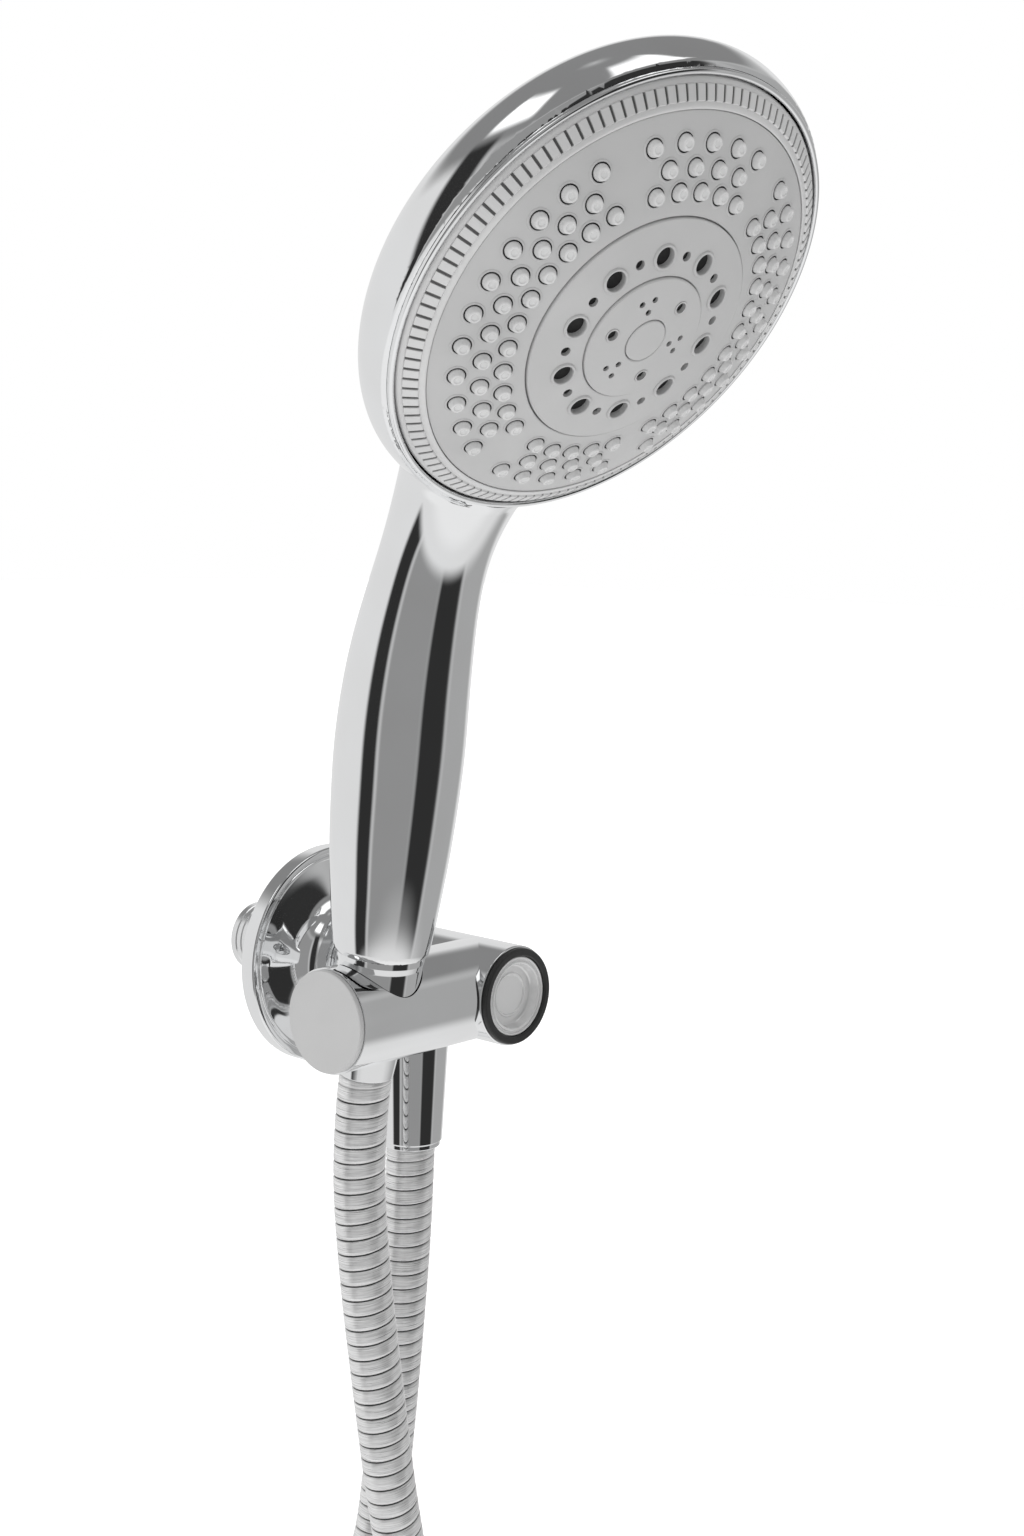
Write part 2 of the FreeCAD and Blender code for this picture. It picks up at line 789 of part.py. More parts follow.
def water_tube():
    """Inner tube that carries the water up the grip to the head."""
    port = HEAD_IN_HANDSET.multVec(V(0, -S.chamber_radius.value - 0.6, 14.4))
    route = [
        V(0, 0, S.bulkhead_top.value + 0.4),
        V(0, 2.4, 96.0),
        V(0, 1.2, 130.0),
        V(0, -5.2, 156.0),
        port,
    ]
    tube = tube_along(
        "water_tube", route, sheet.get("water_tube_radius"), sheet.get("water_tube_bore")
    )
    keep(tube, "water_tube", HANDSET)


# Head -------------------------------------------------------------------------

def dome_layer(name, top_drop, bottom_drop, inner, outer):
    """A ring cut from the head's domed face, between two depths below its skin."""
    centre = S.head_depth + S.dome_rise - S.dome_radius
    spheres = []
    for side, drop in (("top", top_drop), ("bottom", bottom_drop)):
        ball = doc.addObject("Part::Sphere", f"{name}_{side}")
        bind(ball, "Radius", S.dome_radius - drop)
        ball.Placement = FreeCAD.Placement(V(0, 0, centre.value), FreeCAD.Rotation())
        spheres.append(ball)
    layer = cut(name + "_skin", spheres[0], spheres[1])
    band = cylinder(name + "_band", outer, 29.0, 50.0)
    if inner is not None:
        band = cut(name + "_annulus", band, cylinder(name + "_middle", inner, 28.0, 51.0))
    return common(name + "_layer", layer, band)


def dome_height(radius):
    """Height of the face's skin at a distance from the head's axis."""
    ball = S.dome_radius.value
    return S.head_depth.value + S.dome_rise.value - ball + math.sqrt(ball**2 - radius**2)


def studs(name, places, radius, tip, low, high):
    """Many short studs standing at (ring radius, angle), measured from the skin."""
    solids = []
    for ring_radius, angle in places:
        turn = math.radians(angle)
        foot = dome_height(ring_radius) + low
        base = V(ring_radius * math.cos(turn), ring_radius * math.sin(turn), foot)
        if tip == radius:
            solids.append(Part.makeCylinder(radius, high - low, base))
        else:
            solids.append(Part.makeCone(radius, tip, high - low, base))
    group = doc.addObject("Part::Feature", name)
    group.Shape = Part.makeCompound(solids)
    return group


def nub_places():
    """Nozzle nubs: three staggered rows, in two short and two long groups."""
    places = []
    step = 10.4
    for centre, count in ((0, 11), (90, 5), (180, 11), (270, 5)):
        for row_radius, fewer in ((43.9, 0), (38.9, 1), (34.0, 0)):
            number = count - fewer
            for i in range(number):
                places.append((row_radius, centre + step * (i - (number - 1) / 2)))
    return places


def face():
    """Domed face plate, the soft mat whose nubs pass through it, and the inserts."""
    places = nub_places()
    nub = sheet.get("nub_radius")
    plate_inner = S.insert_radius + 0.15
    plate = dome_layer("face", 0, S.plate_thickness, plate_inner, S.face_radius)
    holes = studs("nub_holes", places, nub + 0.1, nub + 0.1, -4.0, 3.0)
    keep(cut("face_with_holes", plate, holes), "face_plate", NUBS)
    top = S.plate_thickness + GAP
    mat = dome_layer("mat", top, top + S.mat_thickness, 30.5, S.face_radius - 0.6)
    nubs = studs("nubs", places, nub, nub - 0.5, -2.6, sheet.get("nub_height"))
    keep(fused("mat_with_nubs", [mat, nubs]), "nozzle_mat", NUBS)

    jets = [(S.jet_ring.value, 36 * i) for i in range(10)]
    between = [(S.jet_ring.value, 36 * i + 18) for i in range(10)]
    insert = dome_layer("insert", -0.35, S.plate_thickness, S.cluster_radius + 0.1, S.insert_radius)
    large = studs("insert_jets", jets, 2.35, 2.35, -5.0, 3.0)
    small = studs("insert_small_jets", between, 1.15, 1.15, -5.0, 3.0)
    jet_holes = fused("insert_holes", [large, small])
    keep(cut("insert_with_jets", insert, jet_holes), "centre_insert", HEAD)

    cluster = dome_layer("cluster", -0.8, S.plate_thickness, S.cap_radius + 0.1, S.cluster_radius)
    tiny = []
    for i in range(3):
        for ring_radius, aside in ((7.8, 0.0), (10.6, -9.0), (10.6, 9.0)):
            tiny.append((ring_radius, 120 * i + aside))
    single = [(10.4, 120 * i + 60) for i in range(3)]
    cluster_holes = fused(
        "cluster_jets",
        [
            studs("cluster_tiny", tiny, 0.75, 0.75, -5.0, 3.0),
            studs("cluster_single", single, 1.25, 1.25, -5.0, 3.0),
        ],
    )
    keep(cut("cluster_with_jets", cluster, cluster_holes), "cluster_insert", HEAD)
    keep(dome_layer("cap", -0.9, 1.2, None, S.cap_radius), "centre_cap", HEAD)


def rings():
    """Ribbed grip ring that turns the face, and the fixed bezel round it."""
    inner = S.face_radius + 0.1
    outline = [
        (inner, 25.2),
        (S.ring_radius, 25.2),
        (S.ring_radius, 30.4),
        (S.ring_radius - 0.4, 31.0),
        (inner + 0.3, 34.0),
        (inner, 33.7),
    ]
    turned("selector_ring", outline, HEAD)
    bezel_inner = S.ring_radius + S.ring_gap
    outline = [
        (bezel_inner, 26.2),
        (S.bezel_radius, 26.2),
        (S.bezel_radius, 30.3),
        (S.bezel_radius - 0.4, 30.8),
        (bezel_inner, 30.8),
    ]
    turned("head_bezel", outline, HEAD)


def water_parts():
    """Fixed distributor and chamber, and the carrier that turns with the face."""
    floor = S.carrier_floor
    carrier = turned_body(
        "face_carrier",
        [
            (S.screw_radius + GAP, floor),
            (S.face_radius, floor),
            (S.face_radius, 29.9),
            (S.face_radius - 2, 29.9),
            (S.face_radius - 2, floor + 2),
            (31.5, floor + 2),
            (31.5, 36.0),
            (30.0, 36.0),
            (30.0, floor + 2),
            (S.screw_radius + GAP, floor + 2),
        ],
    )
    hole_ring(carrier, "carrier_ports", S.port_ring, 2.6, 5, 26.0, 29.0)
    hole_ring(carrier, "massage_ports", 14.0, 2.0, 6, 26.0, 29.0)
    hole_ring(carrier, "detent_dimples", S.detent_ring, 2.1, 20, floor - 0.5, floor + 1.0)
    keep(carrier, "face_carrier", HEAD)

    foot = S.distributor_foot
    top = S.distributor_top
    distributor = turned_body(
        "distributor_plate",
        [
            (S.screw_radius + GAP, foot),
            (54.0, foot + 1.5),
            (54.0, top),
            (27.5, top),
            (27.5, top - 1.2),
            (24.5, top - 1.2),
            (24.5, top),
            (S.screw_radius + GAP, top),
        ],
    )
    hole_ring(distributor, "distributor_ports", S.port_ring, 2.6, 5, 18.0, 25.0)
    hole_ring(distributor, "distributor_inner_ports", 14.0, 2.0, 6, 18.0, 25.0)
    boss = cylinder("detent_boss", 3.2, 14.0, 21.0, aside(S.detent_ring))
    hole = cylinder("detent_hole", 1.75, 15.4, 26.0, aside(S.detent_ring))
    bored = cut("distributor_bored", fused("distributor_with_boss", [distributor, boss]), hole)
    keep(bored, "distributor", HEAD)
    ring("port_seal", 24.5 + GAP, 27.5 - GAP, top - 1.2 + GAP, top + 1.6, HEAD)

    chamber = turned_body(
        "chamber_dish",
        [
            (0, 10.0),
            (34.0, 10.0),
            (S.chamber_radius, 12.0),
            (S.chamber_radius, foot - GAP),
            (S.chamber_radius - 2, foot - GAP),
            (S.chamber_radius - 2, 12.5),
            (0, 12.5),
        ],
    )
    sideways = FreeCAD.Placement(V(0, 0, 15.7), FreeCAD.Rotation(X_AXIS, 90))
    port = cylinder("chamber_port", 2.7, 30.0, 45.0, sideways)
    keep(cut("chamber_with_port", chamber, port), "water_chamber", HEAD)


def aside(ring_radius):
    """A place on a circle about the head's axis, on its X side."""
    return FreeCAD.Placement(V(as_size(ring_radius).value, 0, 0), FreeCAD.Rotation())


def detent():
    """Sprung pin for the carrier's dimples, drawn just clear of them."""
    place = HEAD.multiply(aside(S.detent_ring))
    turned(
        "detent_pin",
        [(0, 20.6), (1.7, 20.6), (1.7, 25.4), (0.9, 26.15), (0, 26.15)],
        place,
    )
    coil_spring("detent_spring", 1.25, 0.22, 1.1, 15.6, 20.5, place)


def turbine():
    """Massage turbine on its sleeve, and the screw that holds the face on."""
    turned(
        "face_screw",
        [
            (0, 14.0),
            (S.screw_radius, 14.0),
            (S.screw_radius, 38.5),
            (4.4, 38.5),
            (4.4, 41.0),
            (0, 41.0),
        ],
        HEAD,
    )
    ring("turbine_sleeve", S.screw_radius + GAP, 3.4, 28.5 + GAP, 38.5 - GAP, HEAD)
    hub = cylinder("turbine_hub", 5.6, 30.2, 36.4)
    disc = cylinder("turbine_disc", 19.0, 30.2, 31.4)
    blades = []
    for i in range(8):
        blade = doc.addObject("Part::Box", f"turbine_blade_{i}")
        bind(blade, "Length", 13.5)
        bind(blade, "Width", 1.2)
        bind(blade, "Height", 5.6)
        blade.Placement = turned_by(45 * i).multiply(
            FreeCAD.Placement(V(5.0, -0.6, 30.6), FreeCAD.Rotation(Z_AXIS, 8))
        )
        blades.append(blade)
    solid = fused("turbine_solid", [hub, disc] + blades)
    bore = cylinder("turbine_bore", 3.47, 29.0, 38.0)
    keep(cut("turbine_bored", solid, bore), "massage_turbine", HEAD)


def check_and_export():
    doc.recompute()
    for thing in doc.Objects:
        if "Invalid" in thing.State or "Error" in thing.State:
            raise RuntimeError(f"{thing.Name} ({thing.Label}): {thing.State}")
    os.makedirs("parts", exist_ok=True)
    for piece in PIECES:
        shape = piece.Shape
        if shape.isNull() or not shape.isValid() or not shape.Solids:
            raise RuntimeError(f"{piece.Label} has no valid solid")
        shape.exportStep(f"parts/{piece.Label}.step")
    print(len(PIECES), "pieces")


wall_flange()
inlet_nipple()
bracket_body()
arm_end()
holder_disc()
check_valve()
outlet_fittings()
hose()
handset_connection()
handset_shell()
water_tube()
face()
rings()
water_parts()
detent()
turbine()
check_and_export()
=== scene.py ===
import json
import math

import bmesh
import bpy
import numpy as np
from mathutils import Matrix, Vector


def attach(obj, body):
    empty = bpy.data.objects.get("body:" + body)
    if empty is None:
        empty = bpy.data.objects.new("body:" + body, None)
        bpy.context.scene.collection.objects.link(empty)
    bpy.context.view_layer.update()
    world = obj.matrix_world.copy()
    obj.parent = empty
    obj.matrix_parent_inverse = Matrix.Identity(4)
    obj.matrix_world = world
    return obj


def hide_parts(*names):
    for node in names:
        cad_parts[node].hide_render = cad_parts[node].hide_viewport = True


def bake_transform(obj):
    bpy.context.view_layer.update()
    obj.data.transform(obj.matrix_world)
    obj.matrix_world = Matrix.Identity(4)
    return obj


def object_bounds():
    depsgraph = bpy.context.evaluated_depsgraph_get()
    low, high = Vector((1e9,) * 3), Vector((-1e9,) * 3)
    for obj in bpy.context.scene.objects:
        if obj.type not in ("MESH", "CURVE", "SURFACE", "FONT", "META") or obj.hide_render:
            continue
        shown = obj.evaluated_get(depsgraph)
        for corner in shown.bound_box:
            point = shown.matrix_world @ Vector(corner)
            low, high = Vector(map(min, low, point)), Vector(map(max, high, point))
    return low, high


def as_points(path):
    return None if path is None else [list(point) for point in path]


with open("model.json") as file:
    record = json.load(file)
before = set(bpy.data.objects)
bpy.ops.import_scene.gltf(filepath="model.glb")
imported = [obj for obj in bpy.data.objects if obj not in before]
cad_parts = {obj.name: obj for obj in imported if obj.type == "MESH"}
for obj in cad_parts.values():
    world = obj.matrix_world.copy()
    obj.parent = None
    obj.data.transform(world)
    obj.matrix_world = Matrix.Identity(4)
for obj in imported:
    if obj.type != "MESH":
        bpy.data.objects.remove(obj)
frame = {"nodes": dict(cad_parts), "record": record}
cad_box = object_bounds()
record = frame["record"]

# Lengths are in millimetres until a mesh is made.
MM = 0.001
X_AXIS = (1, 0, 0)
Y_AXIS = (0, 1, 0)
Z_AXIS = (0, 0, 1)


def turn(axis, degrees):
    return Matrix.Rotation(math.radians(degrees), 4, Vector(axis))


def shift(x, y, z):
    return Matrix.Translation((x, y, z))


# Frames of the sub-assemblies, each with Z along the pieces turned about it.
WALL = turn(X_AXIS, 90)
NIPPLE = shift(0, 30.8, 0) @ turn(X_AXIS, 90)
HOLDER_SET = 61.3
CROSS = shift(0, -HOLDER_SET, 0) @ turn(Y_AXIS, -90)
OUTLET_SET = 37.2
OUTLET = shift(0, -OUTLET_SET, -50.1)
LEAN = 8.5
SWING = -4.5
HANDSET_AXIS = turn(X_AXIS, LEAN).to_3x3() @ Vector(Z_AXIS)
HOLDER_CENTRE = Vector((-39.7, -HOLDER_SET, 0))
NUT_DROP = 17.4
HANDSET = (
    Matrix.Translation(HOLDER_CENTRE - HANDSET_AXIS * NUT_DROP)
    @ turn(X_AXIS, LEAN)
    @ turn(Z_AXIS, SWING)
)
HEAD_DEPTH = 34.0
FACE_TILT = 29.3
HEAD_IN_HANDSET = shift(0, -52.0, 201.2) @ turn(X_AXIS, 90 + FACE_TILT) @ shift(0, 0, -HEAD_DEPTH)
HEAD = HANDSET @ HEAD_IN_HANDSET
NUBS = HEAD @ turn(Z_AXIS, 5.0)


# Camera -----------------------------------------------------------------------

def add_camera():
    azimuth = math.radians(-48.616)
    elevation = math.radians(7.1226)
    roll = math.radians(1.4282)
    back = Vector(
        (
            math.sin(azimuth) * math.cos(elevation),
            -math.cos(azimuth) * math.cos(elevation),
            math.sin(elevation),
        )
    )
    right = Vector((math.cos(azimuth), math.sin(azimuth), 0))
    up = back.cross(right)
    right_rolled = right * math.cos(roll) + up * math.sin(roll)
    up_rolled = up * math.cos(roll) - right * math.sin(roll)
    data = bpy.data.cameras.new("camera")
    data.sensor_fit = "VERTICAL"
    data.sensor_height = 36
    data.lens = 46.506
    data.clip_start = 0.01
    data.clip_end = 50
    camera = bpy.data.objects.new("camera", data)
    turned = Matrix((right_rolled, up_rolled, back)).transposed().to_4x4()
    camera.matrix_world = Matrix.Translation((-0.396725, -0.421935, 0.128077)) @ turned
    bpy.context.scene.collection.objects.link(camera)
    bpy.context.scene.camera = camera


add_camera()


# Materials --------------------------------------------------------------------

def new_material(name, **sockets):
    """A Principled material with plain values on its own sockets."""
    material = bpy.data.materials.new(name)
    material.use_nodes = True
    shader = material.node_tree.nodes["Principled BSDF"]
    for socket, value in sockets.items():
        shader.inputs[socket.replace("_", " ")].default_value = value
    return material


def grey(level, tint=0.0):
    """A neutral colour, a little cool when tint is above zero."""
    return (level * (1 - tint), level, level * (1 + tint), 1)


def noise(material, scale, detail=3.0, stretch=(1, 1, 1), attribute=None):
    """A noise texture in the object's own space, or along a stored attribute."""
    nodes = material.node_tree.nodes
    links = material.node_tree.links
    texture = nodes.new("ShaderNodeTexNoise")
    texture.inputs["Scale"].default_value = scale
    texture.inputs["Detail"].default_value = detail
    mapping = nodes.new("ShaderNodeMapping")
    mapping.inputs["Scale"].default_value = stretch
    if attribute:
        source = nodes.new("ShaderNodeAttribute")
        source.attribute_name = attribute
        links.new(source.outputs["Vector"], mapping.inputs["Vector"])
    else:
        source = nodes.new("ShaderNodeTexCoord")
        links.new(source.outputs["Object"], mapping.inputs["Vector"])
    links.new(mapping.outputs["Vector"], texture.inputs["Vector"])
    return texture.outputs["Fac"]


def ranged(material, factor, low, high, start=0.3, end=0.7):
    """Maps a texture's middle values onto a range of numbers."""
    nodes = material.node_tree.nodes
    spread = nodes.new("ShaderNodeMapRange")
    spread.inputs["From Min"].default_value = start
    spread.inputs["From Max"].default_value = end
    spread.inputs["To Min"].default_value = low
    spread.inputs["To Max"].default_value = high
    material.node_tree.links.new(factor, spread.inputs["Value"])
    return spread.outputs["Result"]


def tinted(material, factor, dark, light):
    """Mixes two colours by a factor."""
    nodes = material.node_tree.nodes
    mix = nodes.new("ShaderNodeMix")
    mix.data_type = "RGBA"
    mix.inputs["A"].default_value = dark
    mix.inputs["B"].default_value = light
    material.node_tree.links.new(factor, mix.inputs["Factor"])
    return mix.outputs["Result"]


def into(material, output, socket):
    shader = material.node_tree.nodes["Principled BSDF"]
    material.node_tree.links.new(output, shader.inputs[socket])


def bumped(material, factor, distance, strength=0.3):
    """Raises the surface by a texture, with a height in metres."""
    nodes = material.node_tree.nodes
    bump = nodes.new("ShaderNodeBump")
    bump.inputs["Strength"].default_value = strength
    bump.inputs["Distance"].default_value = distance
    material.node_tree.links.new(factor, bump.inputs["Height"])
    into(material, bump.outputs["Normal"], "Normal")


def chrome_material(name, level=0.9, rough=(0.025, 0.075)):
    material = new_material(name, Metallic=1.0, Specular_IOR_Level=0.5)
    smears = noise(material, 28.0, 5.0, (1, 1, 0.35))
    into(material, ranged(material, smears, rough[0], rough[1]), "Roughness")
    cloud = noise(material, 60.0, 2.0)
    colour = tinted(material, ranged(material, cloud, 0, 1), grey(level - 0.03, 0.004), grey(level, 0.008))
    into(material, colour, "Base Color")
    bumped(material, noise(material, 35.0, 1.0), 0.00004, 0.12)
    return material


def moulded_material(name, low, high, rough=(0.36, 0.46), metallic=0.0, grain=900.0, depth=0.00003):
    """Moulded or painted plastic: fine grain, and faint patches of tone."""
    material = new_material(name, Metallic=metallic)
    patches = noise(material, 45.0, 4.0)
    into(material, tinted(material, ranged(material, patches, 0, 1), grey(low), grey(high)), "Base Color")
    fine = noise(material, grain, 2.0)
    into(material, ranged(material, fine, rough[0], rough[1]), "Roughness")
    bumped(material, fine, depth)
    return material


def shade_seams(material, colour, dark):
    """Paints shade into a colour: darkens it where the mesh's seam shade attribute is above zero, standing
    in for shade in seams and grooves.
    """
    nodes = material.node_tree.nodes
    seam_shade = nodes.new("ShaderNodeAttribute")
    seam_shade.attribute_name = "seam_shade"
    mix = nodes.new("ShaderNodeMix")
    mix.data_type = "RGBA"
    mix.inputs["B"].default_value = grey(dark)
    material.node_tree.links.new(colour, mix.inputs["A"])
    material.node_tree.links.new(seam_shade.outputs["Fac"], mix.inputs["Factor"])
    into(material, mix.outputs["Result"], "Base Color")


def hose_material():
    """Wound steel strip: brushed along the strip, with painted shade in the seams between turns."""
    material = new_material("hose_steel", Metallic=0.6)
    lines = noise(material, 1.0, 4.0, (17.0, 0.9, 1.0), "strip")
    brushed = tinted(material, ranged(material, lines, 0, 1), grey(0.52), grey(0.95))
    # Painted shade: the colour goes near black in the seams between turns.
    shade_seams(material, brushed, 0.02)
    into(material, ranged(material, lines, 0.26, 0.4), "Roughness")
    bumped(material, lines, 0.00006)
    return material


def ribbed_material():
    """Satin silver plastic, with painted shade in the grooves between its ribs."""
    material = moulded_material("ring_silver", 0.58, 0.62, (0.3, 0.38), 0.3, 900.0, 0.00001)
    patches = noise(material, 45.0, 4.0)
    # Painted shade: darker in the grooves between the ribs.
    shade_seams(material, tinted(material, ranged(material, patches, 0, 1), grey(0.58), grey(0.62)), 0.1)
    return material


MATERIALS = {
    "chrome": chrome_material("chrome"),
    "inlet_metal": chrome_material("inlet_metal", 0.86, (0.12, 0.2)),
    "face_grey": moulded_material("face_grey", 0.43, 0.46, (0.34, 0.42), 0.1),
    "ring_silver": ribbed_material(),
    "nozzle_rubber": moulded_material("nozzle_rubber", 0.52, 0.56, (0.2, 0.3)),
    "black_rubber": moulded_material("black_rubber", 0.012, 0.02, (0.35, 0.5)),
    "plug_silver": moulded_material("plug_silver", 0.66, 0.72, (0.16, 0.26), 0.5),
    "disc_grey": moulded_material("disc_grey", 0.42, 0.44, (0.3, 0.4)),
    "hose_steel": hose_material(),
    "spring_steel": moulded_material("spring_steel", 0.4, 0.55, (0.25, 0.35), 1.0),
    "brass_fitting": new_material("brass_fitting", Metallic=1.0, Roughness=0.3),
    "white_plastic": moulded_material("white_plastic", 0.72, 0.78),
    "strap": moulded_material("strap", 0.015, 0.03, (0.7, 0.85), 0.0, 1500.0, 0.0002),
    # Near-black, for painted shade down in holes and in the gaps round the nubs.
    "painted_hole_shade": moulded_material("painted_hole_shade", 0.01, 0.015, (0.6, 0.8)),
}
BRASS = MATERIALS["brass_fitting"]
into(
    BRASS,
    tinted(BRASS, ranged(BRASS, noise(BRASS, 70.0), 0, 1), (0.62, 0.46, 0.2, 1), (0.78, 0.62, 0.32, 1)),
    "Base Color",
)


# Mesh helpers -----------------------------------------------------------------

def add_piece(name, points, faces, place, material, body, replaces=(), normals=None, smooth=True):
    """Makes a mesh from points in a local frame, and hangs it on a CAD body."""
    mesh = bpy.data.meshes.new(name)
    matrix = np.array(place)
    moved = np.asarray(points, float) @ matrix[:3, :3].T + matrix[:3, 3]
    mesh.from_pydata((moved * MM).tolist(), [], faces)
    mesh.materials.append(MATERIALS[material])
    mesh.polygons.foreach_set("use_smooth", [smooth] * len(mesh.polygons))
    if normals is not None:
        turned = np.asarray(normals, float) @ matrix[:3, :3].T
        mesh.normals_split_custom_set_from_vertices(turned.tolist())
    mesh.update()
    piece = bpy.data.objects.new(name, mesh)
    bpy.context.scene.collection.objects.link(piece)
    if body:
        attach(piece, body)
        finish_piece(material, replaces)
    return piece


def finish_piece(material, replaces):
    if replaces:
        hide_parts(*replaces)


def filleted(profile, steps=5):
    """Rounds a profile's corners: each point is (radius, height, corner radius)."""
    points = []
    count = len(profile)
    for i, point in enumerate(profile):
        here = np.array(point[:2], float)
        corner = point[2] if len(point) > 2 else 0.0
        before = np.array(profile[i - 1][:2], float) - here
        after = np.array(profile[(i + 1) % count][:2], float) - here
        at_end = here[0] < 1e-6
        if corner <= 0 or at_end:
            points.append(here)
            continue
        room = 0.48 * min(np.linalg.norm(before), np.linalg.norm(after))
        before /= np.linalg.norm(before)
        after /= np.linalg.norm(after)
        half = math.acos(max(-1.0, min(1.0, before @ after))) / 2
        reach = min(corner / math.tan(half), room)
        radius = reach * math.tan(half)
        middle = (before + after) / np.linalg.norm(before + after)
        centre = here + middle * (radius / math.sin(half))
        first = here + before * reach - centre
        last = here + after * reach - centre
        sweep = math.atan2(first[0] * last[1] - first[1] * last[0], first @ last)
        for j in range(steps + 1):
            angle = sweep * j / steps
            c, s = math.cos(angle), math.sin(angle)
            points.append(centre + np.array([first[0] * c - first[1] * s, first[0] * s + first[1] * c]))
    return np.array(points)


def lathe(profile, segments=128, closed=True):
    """Turns a dense profile about Z. An open one starts and ends on the axis."""
    count = len(profile)
    ahead = np.roll(profile, -1, axis=0) - profile
    if not closed:
        ahead[-1] = ahead[-2]
    behind = np.roll(ahead, 1, axis=0)
    if not closed:
        behind[0] = ahead[0]
    along = ahead + behind
    normal = np.stack([along[:, 1], -along[:, 0]], axis=1)
    normal /= np.linalg.norm(normal, axis=1)[:, None] + 1e-12
    ahead = np.roll(profile, -1, axis=0)
    area = 0.5 * np.sum(profile[:, 0] * ahead[:, 1] - ahead[:, 0] * profile[:, 1])
    flip = area < 0
    if flip:
        normal = -normal
    points = []
    normals = []
    rows = []
    for (radius, height), (nr, nz) in zip(profile, normal):
        if radius < 1e-6:
            rows.append([len(points)] * segments)
            points.append((0, 0, height))
            normals.append((0, 0, 1 if nz > 0 else -1))
            continue
        rows.append(list(range(len(points), len(points) + segments)))
        for j in range(segments):
            c, s = math.cos(2 * math.pi * j / segments), math.sin(2 * math.pi * j / segments)
            points.append((radius * c, radius * s, height))
            normals.append((nr * c, nr * s, nz))
    faces = []
    for i in range(count if closed else count - 1):
        low, high = rows[i], rows[(i + 1) % count]
        for j in range(segments):
            k = (j + 1) % segments
            face = [low[j], low[k], high[k], high[j]]
            face = list(dict.fromkeys(face))
            if len(face) > 2:
                faces.append(face[::-1] if flip else face)
    return np.array(points), faces, np.array(normals)


def turned(name, profile, place, material, body, replaces=(), segments=128, steps=5):
    """A piece turned from a filleted profile that is closed, or ends on the axis."""
    on_axis = profile[0][0] < 1e-6 and profile[-1][0] < 1e-6
    points, faces, normals = lathe(filleted(profile, steps), segments, not on_axis)
    return add_piece(name, points, faces, place, material, body, replaces, normals)


def evaluated(piece):
    """The piece's mesh with its modifiers applied."""
    graph = bpy.context.evaluated_depsgraph_get()
    return bpy.data.meshes.new_from_object(piece.evaluated_get(graph))


WELD = 0.002 * MM


def carve(piece, tools, operation="DIFFERENCE"):
    """Applies exact booleans with each tool, then drops the tools."""
    for tool in tools:
        modifier = piece.modifiers.new("carve", "BOOLEAN")
        modifier.operation = operation
        modifier.solver = "EXACT"
        modifier.object = tool
    bpy.context.view_layer.update()
    old = piece.data
    piece.data = evaluated(piece)
    piece.modifiers.clear()
    bpy.data.meshes.remove(old)
    welded = bmesh.new()
    welded.from_mesh(piece.data)
    bmesh.ops.remove_doubles(welded, verts=welded.verts, dist=WELD)
    bmesh.ops.dissolve_degenerate(welded, edges=welded.edges, dist=WELD)
    welded.to_mesh(piece.data)
    welded.free()
    for tool in tools:
        bpy.data.objects.remove(tool)


def shade_by(piece, surfaces, place=Matrix.Identity(4), reach=0.05):
    """Sets each corner's normal from the surface it lies on, or else its face's own."""
    mesh = piece.data
    inverse = np.array(place.inverted())
    matrix = np.array(place)
    at = np.array([v.co for v in mesh.vertices]) / MM @ inverse[:3, :3].T + inverse[:3, 3]
    options = [surface(at) for surface in surfaces]
    normals = []
    for face in mesh.polygons:
        own = inverse[:3, :3] @ np.array(face.normal)
        for index in face.vertices:
            best = own
            closest = 0.94
            for distance, normal in options:
                if abs(distance[index]) < reach and normal[index] @ own > closest:
                    best = normal[index]
                    closest = normal[index] @ own
            normals.append(tuple(matrix[:3, :3] @ best))
    mesh.polygons.foreach_set("use_smooth", [True] * len(mesh.polygons))
    mesh.normals_split_custom_set(normals)


def round_about(radius, axis, centre=(0, 0, 0), slope=0.0, sign=1):
    """A cylinder or slight cone as a surface for shade_by."""
    axis = np.array(axis, float)
    centre = np.array(centre, float)

    def surface(at):
        rel = at - centre
        height = rel @ axis
        out = rel - height[:, None] * axis
        size = np.linalg.norm(out, axis=1)
        normal = out / (size[:, None] + 1e-9) - slope * axis
        normal /= np.linalg.norm(normal, axis=1)[:, None]
        return size - radius - slope * height, normal * sign

    return surface


def ball_about(radius, centre):
    """A sphere as a surface for shade_by."""
    centre = np.array(centre, float)

    def surface(at):
        out = at - centre
        size = np.linalg.norm(out, axis=1)
        return size - radius, out / size[:, None]

    return surface


# Hose -------------------------------------------------------------------------

HOSE_RADIUS = 7.0
COIL_CENTRE = (-6.0, -302.0)
COIL_RADIUS = 74.5
COIL_FRONT = -62.5
COIL_BACK = -25.3
COIL_LEAD = 15.0
COIL_SWEEP = 930.0
COIL_POINTS = 42
FRONT_ROUTE = [
    (-39.9, -56.0, -39.0),
    (-38.0, -57.6, -72.0),
    (-33.8, -59.8, -108.0),
    (-28.4, -61.5, -146.0),
    (-19.5, -62.3, -181.0),
    (4.0, -62.4, -208.0),
    (37.0, -62.5, -224.5),
    (58.2, -62.5, -253.7),
]
REAR_ROUTE = [
    (-71.5, -25.2, -255.0),
    (-55.0, -25.6, -231.0),
    (-20.5, -27.8, -207.0),
    (-4.6, -30.4, -177.0),
    (-2.5, -33.0, -146.0),
    (-1.1, -35.4, -106.0),
    (-0.2, -37.1, -72.0),
]


